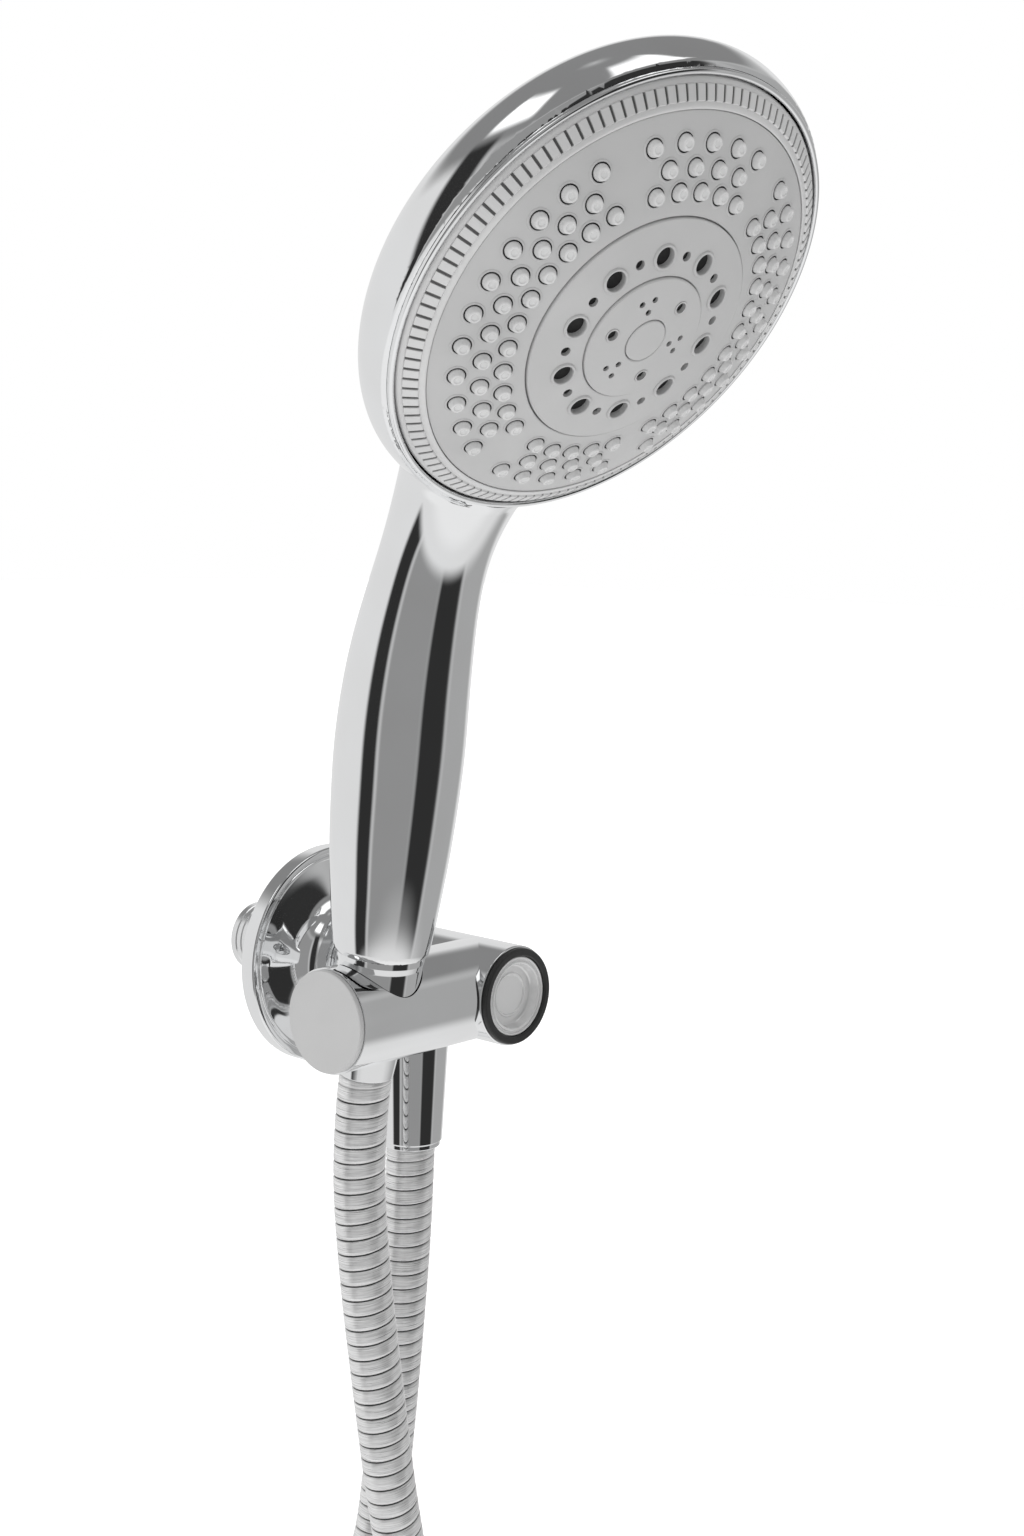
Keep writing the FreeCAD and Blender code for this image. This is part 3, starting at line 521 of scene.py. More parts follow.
def coil_route():
    """The coil's turns, from its front strand's top right to its back strand's top left."""
    route = []
    for i in range(COIL_POINTS):
        share = i / (COIL_POINTS - 1)
        angle = math.radians(COIL_LEAD - COIL_SWEEP * share)
        across = COIL_CENTRE[0] + COIL_RADIUS * math.cos(angle)
        height = COIL_CENTRE[1] + COIL_RADIUS * math.sin(angle)
        route.append((across, COIL_FRONT + (COIL_BACK - COIL_FRONT) * share, height))
    return route


def hose_line():
    """Points along the hose's smooth centreline, read from its spline."""
    start = HANDSET @ Vector((0, 0, -0.4))
    end = OUTLET @ Vector((0, 0, -0.1))
    route = [tuple(start)] + FRONT_ROUTE + coil_route() + REAR_ROUTE + [tuple(end)]
    curve = bpy.data.curves.new("hose_line", "CURVE")
    curve.dimensions = "3D"
    spline = curve.splines.new("NURBS")
    spline.points.add(len(route) - 1)
    for point, place in zip(spline.points, route):
        point.co = (*[c * MM for c in place], 1)
    spline.order_u = 3
    spline.use_endpoint_u = True
    spline.resolution_u = 24
    line = bpy.data.objects.new("hose_line", curve)
    bpy.context.scene.collection.objects.link(line)
    bpy.context.view_layer.update()
    mesh = bpy.data.meshes.new_from_object(line)
    points = np.array([v.co for v in mesh.vertices]) / MM
    bpy.data.objects.remove(line)
    bpy.data.meshes.remove(mesh)
    return points


def carried_frames(points):
    """Tangents and a pair of side vectors that don't twist along the line."""
    tangents = np.gradient(points, axis=0)
    tangents /= np.linalg.norm(tangents, axis=1)[:, None]
    side = np.cross(tangents[0], (0, 1, 0))
    side /= np.linalg.norm(side)
    sides = [side]
    for tangent in tangents[1:]:
        side = side - (side @ tangent) * tangent
        side /= np.linalg.norm(side)
        sides.append(side)
    sides = np.array(sides)
    return sides, np.cross(tangents, sides)


# One turn of the wound strip: (share of the pitch, depth below the outside, painted seam shade).
STRIP_PITCH = 4.2
STRIP = [
    (0.0, 0.5, 1.0),
    (0.05, 0.42, 1.0),
    (0.09, 0.1, 0.0),
    (0.16, 0.0, 0.0),
    (0.36, 0.06, 0.0),
    (0.44, 0.02, 0.0),
    (0.62, 0.07, 0.0),
    (0.7, 0.03, 0.0),
    (0.9, 0.08, 0.0),
    (0.96, 0.2, 0.3),
]
HOSE_SIDES = 30
HOSE_FADE = 5.0


def build_hose():
    """The wound steel hose: a strip swept in a helix along the centreline."""
    line = hose_line()
    steps = np.linalg.norm(np.diff(line, axis=0), axis=1)
    keep = np.concatenate([[True], steps > 1e-6])
    line = line[keep]
    run = np.concatenate([[0], np.cumsum(np.linalg.norm(np.diff(line, axis=0), axis=1))])
    length = run[-1]
    sides, ups = carried_frames(line)
    rings = (int(length / STRIP_PITCH) + 2) * len(STRIP)
    index = np.arange(rings)
    share = np.array([s[0] for s in STRIP])[index % len(STRIP)] + index // len(STRIP)
    depth = np.array([s[1] for s in STRIP])[index % len(STRIP)]
    # How much painted shade each ring gets in the seams between turns.
    seam_shade = np.array([s[2] for s in STRIP])[index % len(STRIP)]
    around = np.arange(HOSE_SIDES) / HOSE_SIDES
    along = np.clip((share[:, None] + around[None, :] - 1) * STRIP_PITCH, 0, length)
    fade = np.clip(np.minimum(along, length - along) / HOSE_FADE, 0, 1)
    radius = HOSE_RADIUS - 0.02 - depth[:, None] * fade
    angle = 2 * math.pi * around[None, :] * np.ones((rings, 1))

    def sampled(values):
        return np.stack([np.interp(along, run, values[:, k]) for k in range(3)], axis=-1)

    centre, side, up = sampled(line), sampled(sides), sampled(ups)
    points = centre + radius[..., None] * (np.cos(angle)[..., None] * side + np.sin(angle)[..., None] * up)
    points = points.reshape(-1, 3)
    faces = []
    for i in range(rings - 1):
        for j in range(HOSE_SIDES - 1):
            a = i * HOSE_SIDES + j
            faces.append((a, a + 1, a + 1 + HOSE_SIDES, a + HOSE_SIDES))
        if i + len(STRIP) + 1 < rings:
            a = i * HOSE_SIDES + HOSE_SIDES - 1
            b = (i + len(STRIP)) * HOSE_SIDES
            faces.append((a, b, b + HOSE_SIDES, a + HOSE_SIDES))
    mesh = bpy.data.meshes.new("hose")
    mesh.from_pydata((points * MM).tolist(), [], faces)
    strip = mesh.attributes.new("strip", "FLOAT_VECTOR", "POINT")
    turns = (share[:, None] + around[None, :]) + 0 * angle
    flat = np.stack([share[:, None] + 0 * angle, turns * 6.0, 0 * angle], axis=-1)
    strip.data.foreach_set("vector", flat.reshape(-1).astype(np.float32))
    # Carries the painted seam shade to the hose's material.
    seam_shades = mesh.attributes.new("seam_shade", "FLOAT", "POINT")
    seam_shades.data.foreach_set("value", (seam_shade[:, None] * fade).reshape(-1).astype(np.float32))
    close_ends(mesh)
    mesh.polygons.foreach_set("use_smooth", [True] * len(mesh.polygons))
    mesh.materials.append(MATERIALS["hose_steel"])
    piece = bpy.data.objects.new("hose", mesh)
    bpy.context.scene.collection.objects.link(piece)
    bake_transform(piece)
    finish_piece("hose_steel", ("hose_front_length", "hose_rear_length", "hose_coil"))
    every = slice(None, None, 3)
    path = np.concatenate([line[every], line[-1:]]) if len(line) % 3 != 1 else line[every]
    return piece, path * MM, length * MM


def close_ends(mesh):
    """Merges the points gathered at each end, and closes the ends with fans."""
    work = bmesh.new()
    work.from_mesh(mesh)
    bmesh.ops.remove_doubles(work, verts=work.verts, dist=1e-7)
    bmesh.ops.dissolve_degenerate(work, edges=work.edges, dist=1e-8)
    edges = [e for e in work.edges if e.is_boundary]
    bmesh.ops.holes_fill(work, edges=edges, sides=0)
    bmesh.ops.recalc_face_normals(work, faces=work.faces)
    work.to_mesh(mesh)
    work.free()


def build_tie():
    """Strap round the strands at the coil's lowest point."""
    thickness = 1.1
    half_width = 5.0
    radius = HOSE_RADIUS + 0.45
    low_y = COIL_FRONT
    high_y = COIL_BACK
    outline = []
    for centre, first in ((high_y, 0), (low_y, 180)):
        for step in range(17):
            angle = math.radians(first - 90 + 180 * step / 16)
            outline.append((centre, angle))
    rows = []
    points = []
    outer = radius + thickness
    corners = ((radius, -half_width), (outer, -half_width), (outer, half_width), (radius, half_width))
    for off, inset in corners:
        row = []
        for centre, angle in outline:
            row.append(len(points))
            y = centre + off * math.cos(angle)
            z = COIL_CENTRE[1] - COIL_RADIUS + off * math.sin(angle)
            points.append((COIL_CENTRE[0] + inset, y, z))
        rows.append(row)
    faces = []
    count = len(outline)
    for i in range(4):
        for j in range(count):
            k = (j + 1) % count
            faces.append((rows[i][j], rows[i][k], rows[(i + 1) % 4][k], rows[(i + 1) % 4][j]))
    piece = add_piece("hose_strap", points, faces, Matrix.Identity(4), "strap", None, smooth=False)
    modifier = piece.modifiers.new("edges", "BEVEL")
    modifier.width = 0.0003
    modifier.segments = 3
    modifier.limit_method = "ANGLE"
    modifier.angle_limit = math.radians(50)
    piece.data = evaluated(piece)
    piece.modifiers.clear()
    fix_outward(piece.data)
    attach(piece, "wall_bracket")
    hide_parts("hose_tie")
    return piece


def fix_outward(mesh):
    work = bmesh.new()
    work.from_mesh(mesh)
    bmesh.ops.recalc_face_normals(work, faces=work.faces)
    work.to_mesh(mesh)
    work.free()


hose, hose_path, hose_length = build_hose()
strap = build_tie()
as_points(hose_path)
print("hose length", round(hose_length, 4))


# Wall outlet and holder -------------------------------------------------------

ARM_RADIUS = 13.75
ARM_START = 2.2
ARM_END = 75.4
HOLDER_REACH = 55.9
NUT_FOOT = 7.3
NUT_WAIST = 9.35
NUT_SHOULDER = 18.4
NUT_SLOPE = (NUT_WAIST - NUT_FOOT) / NUT_SHOULDER
MOUTH_RADIUS = 11.45
MOUTH_FLOOR = 0.4
RECESS_RADIUS = 11.9
SOCKET_RADIUS = 10.9


def plain_cylinder(name, radius, low, high, place, segments=256):
    profile = np.array([(0, low), (radius, low), (radius, high), (0, high)], float)
    points, faces, _ = lathe(profile, segments, False)
    return add_piece(name, points, faces, place, "chrome", None, smooth=False)


def build_bracket():
    """Arm and cross cylinder meeting in a mitre, with the holder's tapered bore."""
    edge = 0.5
    profile = filleted(
        [(0, ARM_START), (ARM_RADIUS, ARM_START, 0.2), (ARM_RADIUS, ARM_END, edge), (0, ARM_END)], 6
    )
    points, faces, _ = lathe(profile, 256, False)
    bracket = add_piece("outlet_bracket", points, faces, WALL, "chrome", None, smooth=False)
    cross = plain_cylinder("cross", ARM_RADIUS, 0, HOLDER_REACH, CROSS)
    carve(bracket, [cross], "UNION")
    reach = 24.0
    middle = NUT_FOOT + NUT_SLOPE * NUT_DROP + 0.08
    neck = middle + NUT_SLOPE * MOUTH_FLOOR
    taper = [(0, -reach), (middle - NUT_SLOPE * reach, -reach), (neck, MOUTH_FLOOR)]
    mouth = [(MOUTH_RADIUS, MOUTH_FLOOR), (MOUTH_RADIUS, reach), (0, reach)]
    points, faces, _ = lathe(np.array(taper + mouth), 256, False)
    holder_place = Matrix.Translation(HOLDER_CENTRE) @ turn(X_AXIS, LEAN)
    holder = add_piece("holder", points, faces, holder_place, "chrome", None, smooth=False)
    down = shift(0, -OUTLET_SET, 0) @ turn(X_AXIS, 180)
    recess = plain_cylinder("recess", RECESS_RADIUS, 6.2, 20.0, down, 128)
    socket = plain_cylinder("socket", SOCKET_RADIUS, 62.0, ARM_END + 1, WALL, 128)
    pipe = plain_cylinder("pipe", 9.98, 0, 14.0, WALL, 128)
    carve(bracket, [holder, recess, socket, pipe])
    axis = tuple(HANDSET_AXIS)
    rim_centre = ARM_END - edge

    def rim(at):
        out = at * np.array([1, 0, 1])
        size = np.linalg.norm(out, axis=1)
        dr = size - (ARM_RADIUS - edge)
        dy = -at[:, 1] - rim_centre
        normal = out / (size[:, None] + 1e-9) * dr[:, None]
        normal[:, 1] = -dy
        span = np.linalg.norm(normal, axis=1)
        outside = (dr > -0.02) & (dy > -0.02)
        return np.where(outside, span - edge, 1.0), normal / (span[:, None] + 1e-9)

    surfaces = [
        round_about(ARM_RADIUS, Y_AXIS),
        round_about(ARM_RADIUS, X_AXIS, (0, -HOLDER_SET, 0)),
        round_about(middle, axis, tuple(HOLDER_CENTRE), NUT_SLOPE, -1),
        round_about(MOUTH_RADIUS, axis, tuple(HOLDER_CENTRE), 0.0, -1),
        round_about(RECESS_RADIUS, Z_AXIS, (0, -OUTLET_SET, 0), 0.0, -1),
        round_about(SOCKET_RADIUS, Y_AXIS, (0, 0, 0), 0.0, -1),
        rim,
    ]
    shade_by(bracket, surfaces)
    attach(bracket, "wall_bracket")
    finish_piece("chrome", ("bracket_body",))


build_bracket()


def spline_through(points, steps=8):
    """A smooth row of points through a few given ones."""
    knots = np.array([points[0]] + list(points) + [points[-1]], float)
    row = []
    for i in range(1, len(knots) - 2):
        a, b, c, d = knots[i - 1 : i + 3]
        for j in range(steps):
            t = j / steps
            row.append(
                0.5
                * (
                    2 * b
                    + (c - a) * t
                    + (2 * a - 5 * b + 4 * c - d) * t**2
                    + (3 * b - a - 3 * c + d) * t**3
                )
            )
    row.append(knots[-2])
    return [tuple(p) for p in row]


def build_flange():
    """Trumpet flange: rim band, stepped groove, hollow cone and neck."""
    cone = spline_through(
        [(28.6, 4.2), (25.0, 4.75), (21.5, 5.75), (18.6, 7.1), (16.6, 8.9), (15.4, 11.0), (14.85, 13.2)]
    )
    profile = (
        [(13.85, 6.4, 0.1), (18.0, 4.6, 0.3), (25.0, 2.6, 0.3), (25.0, 0.0, 0.2), (26.0, 0.0, 0.1)]
        + [(26.0, 2.0, 0.1), (29.0, 2.0, 0.1), (29.0, 0.0, 0.1), (32.2, 0.0, 0.4)]
        + [(32.2, 5.3, 0.7), (30.6, 5.3, 0.35), (30.3, 4.7, 0.15), (29.9, 4.7, 0.15)]
        + [(29.6, 5.05, 0.25), (28.9, 5.05, 0.2)]
        + cone
        + [(14.8, 17.5, 0.3), (13.85, 17.5, 0.2)]
    )
    turned("flange", profile, WALL, "chrome", "wall_bracket", ("wall_flange",), 192, 4)


def build_nipple():
    """Inlet pipe with a few shallow rings near its free end."""
    radius = 10.46
    rings = []
    for start in (3.0, 5.2, 7.4):
        rings += [(radius, start, 0.1), (radius - 0.28, start + 0.25, 0.1)]
        rings += [(radius - 0.28, start + 0.75, 0.1), (radius, start + 1.0, 0.1)]
    profile = (
        [(8.0, 0.0, 0.4), (radius - 1.0, 0.0, 0.3), (radius, 1.0, 0.4)]
        + rings
        + [(radius, 30.8, 0.1), (9.9, 30.8, 0.1), (9.9, 42.8, 0.2), (8.0, 42.8, 0.2)]
    )
    turned("inlet_pipe", profile, NIPPLE, "inlet_metal", "wall_bracket", ("inlet_nipple",), 96, 3)


def build_arm_end():
    """Rubber ring, silver rim and recessed dish at the arm's front."""
    turned(
        "arm_end_seal",
        [
            (11.0, ARM_END + 0.05, 0.1),
            (13.2, ARM_END + 0.05, 0.15),
            (13.2, ARM_END + 1.4, 0.6),
            (11.0, ARM_END + 1.4, 0.5),
        ],
        WALL,
        "black_rubber",
        "wall_bracket",
        ("arm_end_ring",),
        128,
    )
    rim = 10.85
    top = ARM_END + 0.8
    turned(
        "arm_end_cap",
        [(0, 62.1), (9.3, 62.1, 0.2), (9.3, 67.0, 0.1), (rim, 67.0, 0.1), (rim, top, 0.3)]
        + [(10.3, top, 0.25), (10.1, top - 0.5, 0.15), (9.7, top - 0.5, 0.15), (9.5, top, 0.3)]
        + [(8.9, top, 0.3), (8.3, 73.6, 0.8), (6.2, 73.45, 0.3), (6.0, 73.8, 0.15)]
        + [(5.6, 73.8, 0.15), (5.4, 73.45, 0.3), (0, 73.3)],
        WALL,
        "plug_silver",
        "wall_bracket",
        ("arm_end_plug",),
        128,
    )


def build_disc():
    top = HOLDER_REACH + 1.5
    turned(
        "end_disc",
        [(0, HOLDER_REACH + 0.05), (13.3, HOLDER_REACH + 0.05, 0.1), (13.3, top, 0.35), (0, top)],
        CROSS,
        "disc_grey",
        "wall_bracket",
        ("holder_end_disc",),
        160,
    )


def build_nuts():
    """The outlet's and the handset's conical hose nuts."""
    collar = 11.6
    top = 50.1 - 6.8
    turned(
        "hose_outlet_nut",
        [(5.65, 0, 0.2), (8.45, 0, 0.4), (8.45, 1.4, 0.15), (8.95, 1.8, 0.25), (10.4, 35.4, 2.0)]
        + [(collar, 37.0, 1.0), (collar, top, 0.2), (10.55, top, 0.1), (10.55, 37.5, 0.1)]
        + [(9.6, 37.5, 0.1), (9.6, 33.4, 0.1), (5.65, 33.4, 0.1)],
        OUTLET,
        "chrome",
        "wall_bracket",
        ("outlet_nut",),
        128,
    )
    turned(
        "hose_cone_nut",
        [(5.65, 0, 0.2), (NUT_FOOT, 0, 0.4), (NUT_WAIST, NUT_SHOULDER, 0.1), (11.2, NUT_SHOULDER + 0.5, 1.3)]
        + [(11.2, 31.0, 2.0), (11.5, 32.6, 1.0), (11.5, 43.0, 0.2)]
        + [(10.55, 43.0, 0.1), (10.55, 33.5, 0.1), (9.6, 33.5, 0.1), (9.6, 29.1, 0.1), (5.65, 29.1, 0.1)],
        HANDSET,
        "chrome",
        "handset",
        ("cone_nut",),
        128,
    )


build_flange()
build_nipple()
build_arm_end()
build_disc()
build_nuts()


# Handset shell ----------------------------------------------------------------

GRIP_START = 33.2
GRIP_LENGTH = 118.3
GRIP_RADIUS = 16.75
GRIP_SECTIONS = [
    (0.0, 0.2, 0.735, 0.735, 0.0),
    (0.044, 0.5, 0.785, 0.785, -2.0),
    (0.128, 1.0, 0.854, 0.854, -3.0),
    (0.237, 1.7, 0.931, 0.931, -3.0),
    (0.354, 2.3, 0.979, 0.979, -3.0),
    (0.463, 2.8, 1.0, 0.995, -2.0),
    (0.572, 3.1, 0.98, 0.965, 0.0),
    (0.681, 2.7, 0.935, 0.91, 4.0),
    (0.79, 1.3, 0.875, 0.83, 9.0),
    (0.9, -1.5, 0.855, 0.77, 15.0),
    (1.0, -5.7, 0.93, 0.79, 22.0),
    (1.11, -12.0, 1.16, 0.8, 28.0),
    (1.22, -19.5, 1.5, 0.66, 29.3),
]
BOWL_RADIUS = 59.4
BOWL_MIDDLE = 23.0
BOWL_BACK = 22.0
BOWL_FRONT = 30.4
BOWL_LIP = 29.8
NECK_BLEND = 10.0
NECK_BLEND_FRONT = 2.0
LIP_ROLL = 1.6
FOOT_ROLL = 2.6
SKIRT_HOLLOW = 11.95


def natural_spline(x, y):
    """A natural cubic spline through (x, y), as a function."""
    n = len(x)
    h = np.diff(x)
    matrix = np.eye(n)
    right = np.zeros(n)
    for i in range(1, n - 1):
        matrix[i, i - 1 : i + 2] = (h[i - 1], 2 * (h[i - 1] + h[i]), h[i])
        right[i] = 6 * ((y[i + 1] - y[i]) / h[i] - (y[i] - y[i - 1]) / h[i - 1])
    bend = np.linalg.solve(matrix, right)

    def value(at):
        i = np.clip(np.searchsorted(x, at) - 1, 0, n - 2)
        at = np.clip(at, x[0] - 20, x[-1] + 20)
        a, b = x[i + 1] - at, at - x[i]
        return (
            (bend[i] * a**3 + bend[i + 1] * b**3) / (6 * h[i])
            + (y[i] / h[i] - bend[i] * h[i] / 6) * a
            + (y[i + 1] / h[i] - bend[i + 1] * h[i] / 6) * b
        )

    return value


SECTIONS = np.array(GRIP_SECTIONS)
HEIGHTS = GRIP_START + GRIP_LENGTH * SECTIONS[:, 0]
grip_offset = natural_spline(HEIGHTS, SECTIONS[:, 1])
grip_width = natural_spline(HEIGHTS, GRIP_RADIUS * SECTIONS[:, 2])
grip_deep = natural_spline(HEIGHTS, GRIP_RADIUS * SECTIONS[:, 3] / np.cos(np.radians(SECTIONS[:, 4])))
HEAD_INVERSE = np.array(HEAD_IN_HANDSET.inverted())


def ellipse_distance(x, y, wide, deep):
    """About the distance to an ellipse, from its level and its slope."""
    level = np.sqrt((x / wide) ** 2 + (y / deep) ** 2) + 1e-9
    slope = np.sqrt((x / wide**2) ** 2 + (y / deep**2) ** 2) / level + 1e-9
    return (level - 1) / slope


def grip_distance(at):
    height = np.minimum(at[:, 2], HEIGHTS[-1])
    side = ellipse_distance(at[:, 0], at[:, 1] - grip_offset(height), grip_width(height), grip_deep(height))
    over = at[:, 2] - (HEIGHTS[-1] - 2.0)
    return np.maximum(side, over * 0.8)


def bowl_distance(at):
    """The bowl, trimmed flat at the face with a small rolled edge."""
    head = at @ HEAD_INVERSE[:3, :3].T + HEAD_INVERSE[:3, 3]
    out = np.hypot(head[:, 0], head[:, 1])
    high = head[:, 2] - BOWL_MIDDLE
    deep = np.where(high > 0, BOWL_FRONT, BOWL_BACK)
    skin = ellipse_distance(out, high, BOWL_RADIUS, deep)
    return -soft_least(-skin, BOWL_LIP - head[:, 2], LIP_ROLL), head[:, 2]


def soft_least(a, b, reach):
    mix = np.clip(0.5 + 0.5 * (b - a) / reach, 0, 1)
    return b + (a - b) * mix - reach * mix * (1 - mix)


def shell_distance(at):
    """Grip and bowl melted together, less so towards the face, and cut at the foot."""
    bowl, front = bowl_distance(at)
    fade = np.clip((front - 12.0) / (BOWL_LIP - 12.0), 0, 1)
    reach = NECK_BLEND + (NECK_BLEND_FRONT - NECK_BLEND) * fade * fade * (3 - 2 * fade)
    whole = soft_least(grip_distance(at), bowl, reach)
    return -soft_least(-whole, at[:, 2] - GRIP_START, FOOT_ROLL)


def slope_of(distance, at, step=0.02):
    columns = []
    for k in range(3):
        move = np.zeros(3)
        move[k] = step
        columns.append((distance(at + move) - distance(at - move)) / (2 * step))
    return np.stack(columns, axis=1)


def surface_net(distance, low, high, size):
    """A closed quad mesh of the surface where distance is zero, on a grid of cells."""
    low = np.array(low, float)
    counts = np.ceil((np.array(high) - low) / size).astype(int) + 1
    axes = [low[k] + size * np.arange(counts[k]) for k in range(3)]
    grid = np.stack(np.meshgrid(*axes, indexing="ij"), axis=-1).reshape(-1, 3)
    values = distance(grid).reshape(counts)
    inside = values < 0
    cells = tuple(counts - 1)
    total = np.zeros(cells + (3,))
    hits = np.zeros(cells)
    corner_sets = [(dx, dy, dz) for dx in (0, 1) for dy in (0, 1) for dz in (0, 1)]

    def part(array, corner):
        return array[tuple(slice(c, c + n) for c, n in zip(corner, cells))]

    for first in corner_sets:
        for k in range(3):
            if first[k]:
                continue
            second = tuple(c + (1 if m == k else 0) for m, c in enumerate(first))
            a, b = part(values, first), part(values, second)
            crossing = part(inside, first) != part(inside, second)
            share = np.where(crossing, a / np.where(crossing, a - b, 1), 0)
            for m in range(3):
                total[..., m] += np.where(crossing, first[m] + (share if m == k else 0), 0)
            hits += crossing
    active = hits > 0
    number = -np.ones(cells, int)
    number[active] = np.arange(active.sum())
    base = np.stack(np.nonzero(active), axis=1)
    points = low + size * (base + total[active] / hits[active][:, None])
    faces = []
    for k in range(3):
        i, j = [m for m in range(3) if m != k]
        ahead = [slice(None)] * 3
        behind = [slice(None)] * 3
        ahead[k] = slice(1, None)
        behind[k] = slice(None, -1)
        change = inside[tuple(behind)] != inside[tuple(ahead)]
        at = np.stack(np.nonzero(change), axis=1)
        at = at[(at[:, i] > 0) & (at[:, j] > 0) & (at[:, i] < cells[i]) & (at[:, j] < cells[j])]
        unit_i, unit_j = np.eye(3, dtype=int)[i], np.eye(3, dtype=int)[j]
        ring = [number[tuple(c.T)] for c in (at - unit_i - unit_j, at - unit_j, at, at - unit_i)]
        quads = np.stack(ring, axis=1)
        outward = inside[tuple(at.T)]
        if k == 1:
            outward = ~outward
        quads[~outward] = quads[~outward][:, ::-1]
        faces.append(quads)
    return points, np.concatenate(faces)


def build_shell():
    """Grip and bowl in one smooth skin, hollowed for the face and the nut."""
    points, faces = surface_net(shell_distance, (-63, -116, 29), (63, 32, 260), 1.1)
    for _ in range(5):
        slope = slope_of(shell_distance, points)
        points -= slope * (shell_distance(points) / np.sum(slope**2, axis=1))[:, None]
    shell = add_piece("handset_skin", points, faces.tolist(), HANDSET, "chrome", None, smooth=False)
    fix_outward(shell.data)
    hollow = [(0, BOWL_MIDDLE - 19.6)]
    for angle in range(84, -1, -6):
        lean = math.radians(angle)
        hollow.append((57.0 * math.cos(lean), BOWL_MIDDLE - 19.6 * math.sin(lean)))
    hollow += [(57.0, 26.0), (57.35, 26.0), (57.35, 40.0), (0, 40.0)]
    points, faces, _ = lathe(np.array(hollow), 256, False)
    bowl = add_piece("bowl_hollow", points, faces, HEAD, "chrome", None, smooth=False)
    skirt = plain_cylinder("skirt_hollow", SKIRT_HOLLOW, 20.0, 44.0, HANDSET, 128)
    carve(shell, [bowl, skirt])

    def skin(at):
        slope = slope_of(shell_distance, at)
        return shell_distance(at), slope / np.linalg.norm(slope, axis=1)[:, None]

    surfaces = [skin, round_about(SKIRT_HOLLOW, Z_AXIS, (0, 0, 0), 0.0, -1)]
    shade_by(shell, surfaces, HANDSET, 0.02)
    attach(shell, "handset")
    finish_piece("chrome", ("handset_shell",))


build_shell()


# Head -------------------------------------------------------------------------

DOME_RADIUS = 132.1
DOME_RISE = 9.4
FACE_RADIUS = 49.9
INSERT_RADIUS = 28.6
CLUSTER_RADIUS = 15.5
CAP_RADIUS = 5.2
DOME_CENTRE = HEAD_DEPTH + DOME_RISE - DOME_RADIUS
RIB_COUNT = 126


def dome(radius, lift=0.0):
    return DOME_CENTRE + math.sqrt((DOME_RADIUS + lift) ** 2 - radius**2)


def dome_profile(inner, outer, lift, thickness, edge, rows):
    """A ring of the domed face with rounded edges, as a closed profile."""
    top = [(inner, dome(inner, lift), edge)]
    for i in range(1, rows):
        radius = inner + (outer - inner) * i / rows
        top.append((radius, dome(radius, lift)))
    top.append((outer, dome(outer, lift), edge))
    bottom = [(outer, dome(outer, -thickness), 0.1), (inner, dome(inner, -thickness), 0.1)]
    return top + bottom


def build_bezel():
    inner = 55.6 + 0.4
    turned(
        "bezel",
        [(inner, 26.2, 0.1), (57.3, 26.2, 0.1), (57.3, 30.8, 0.55), (inner, 30.8, 0.55)],
        HEAD,
        "chrome",
        "handset",
        ("head_bezel",),
        256,
    )


def build_ring():
    """Selector ring: a sloping band with raised ribs between two smooth edges."""
    samples = 6
    rib_height = 0.42
    inner_radius = FACE_RADIUS + 0.1
    slope = [
        (55.6, 25.2, 0), (55.6, 29.9, 0), (55.45, 30.35, 0), (55.1, 30.72, 0), (54.75, 30.98, 0),
        (54.55, 31.12, 0), (54.4, 31.2, 1), (53.4, 31.9, 1), (52.4, 32.58, 1), (51.7, 33.05, 1),
        (51.5, 33.2, 0), (51.25, 33.38, 0), (50.8, 33.66, 0), (50.4, 33.78, 0), (50.1, 33.72, 0),
        (inner_radius, 33.4, 0), (inner_radius, 25.2, 0),
    ]
    total = RIB_COUNT * samples
    raised = [0.0, 0.0, 1.0, 1.0, 1.0, 1.0]
    spread = [0.0, 0.16, 0.22, 0.46, 0.72, 0.94]
    points = []
    for i in range(total):
        rib, part = divmod(i, samples)
        angle = 2 * math.pi * (rib + spread[part]) / RIB_COUNT
        for radius, height, ribbed in slope:
            lift = rib_height * ribbed * raised[part]
            out = radius + lift * 0.5
            points.append((out * math.cos(angle), out * math.sin(angle), height + lift * 0.8))
    rows = len(slope)
    faces = []
    for i in range(total):
        k = (i + 1) % total
        for j in range(rows):
            m = (j + 1) % rows
            faces.append((i * rows + j, k * rows + j, k * rows + m, i * rows + m))
    piece = add_piece(
        "selector_grip_ring", points, faces, HEAD, "ring_silver", "selector", ("selector_ring",)
    )
    # Painted shade: one on the groove floors between raised ribs, zero elsewhere.
    groove_shade = np.array([[row[2] * (1 - raised[i % samples]) for row in slope] for i in range(total)])
    seam_shades = piece.data.attributes.new("seam_shade", "FLOAT", "POINT")
    seam_shades.data.foreach_set("value", groove_shade.reshape(-1).astype(np.float32))
    sharpen(piece.data, 38)


def sharpen(mesh, degrees):
    """Keeps edges sharper than an angle crisp under smooth shading."""
    work = bmesh.new()
    work.from_mesh(mesh)
    bmesh.ops.recalc_face_normals(work, faces=work.faces)
    limit = math.radians(degrees)
    for edge in work.edges:
        edge.smooth = len(edge.link_faces) == 2 and edge.calc_face_angle(0) < limit
    work.to_mesh(mesh)
    work.free()


def nub_places():
    """Nozzle nubs: three staggered rows, in two short and two long groups."""
    places = []
    step = 10.4
    for centre, count in ((0, 11), (90, 5), (180, 11), (270, 5)):
        for row_radius, fewer in ((43.9, 0), (38.9, 1), (34.0, 0)):
            number = count - fewer
            for i in range(number):
                places.append((row_radius, centre + step * (i - (number - 1) / 2)))
    return places


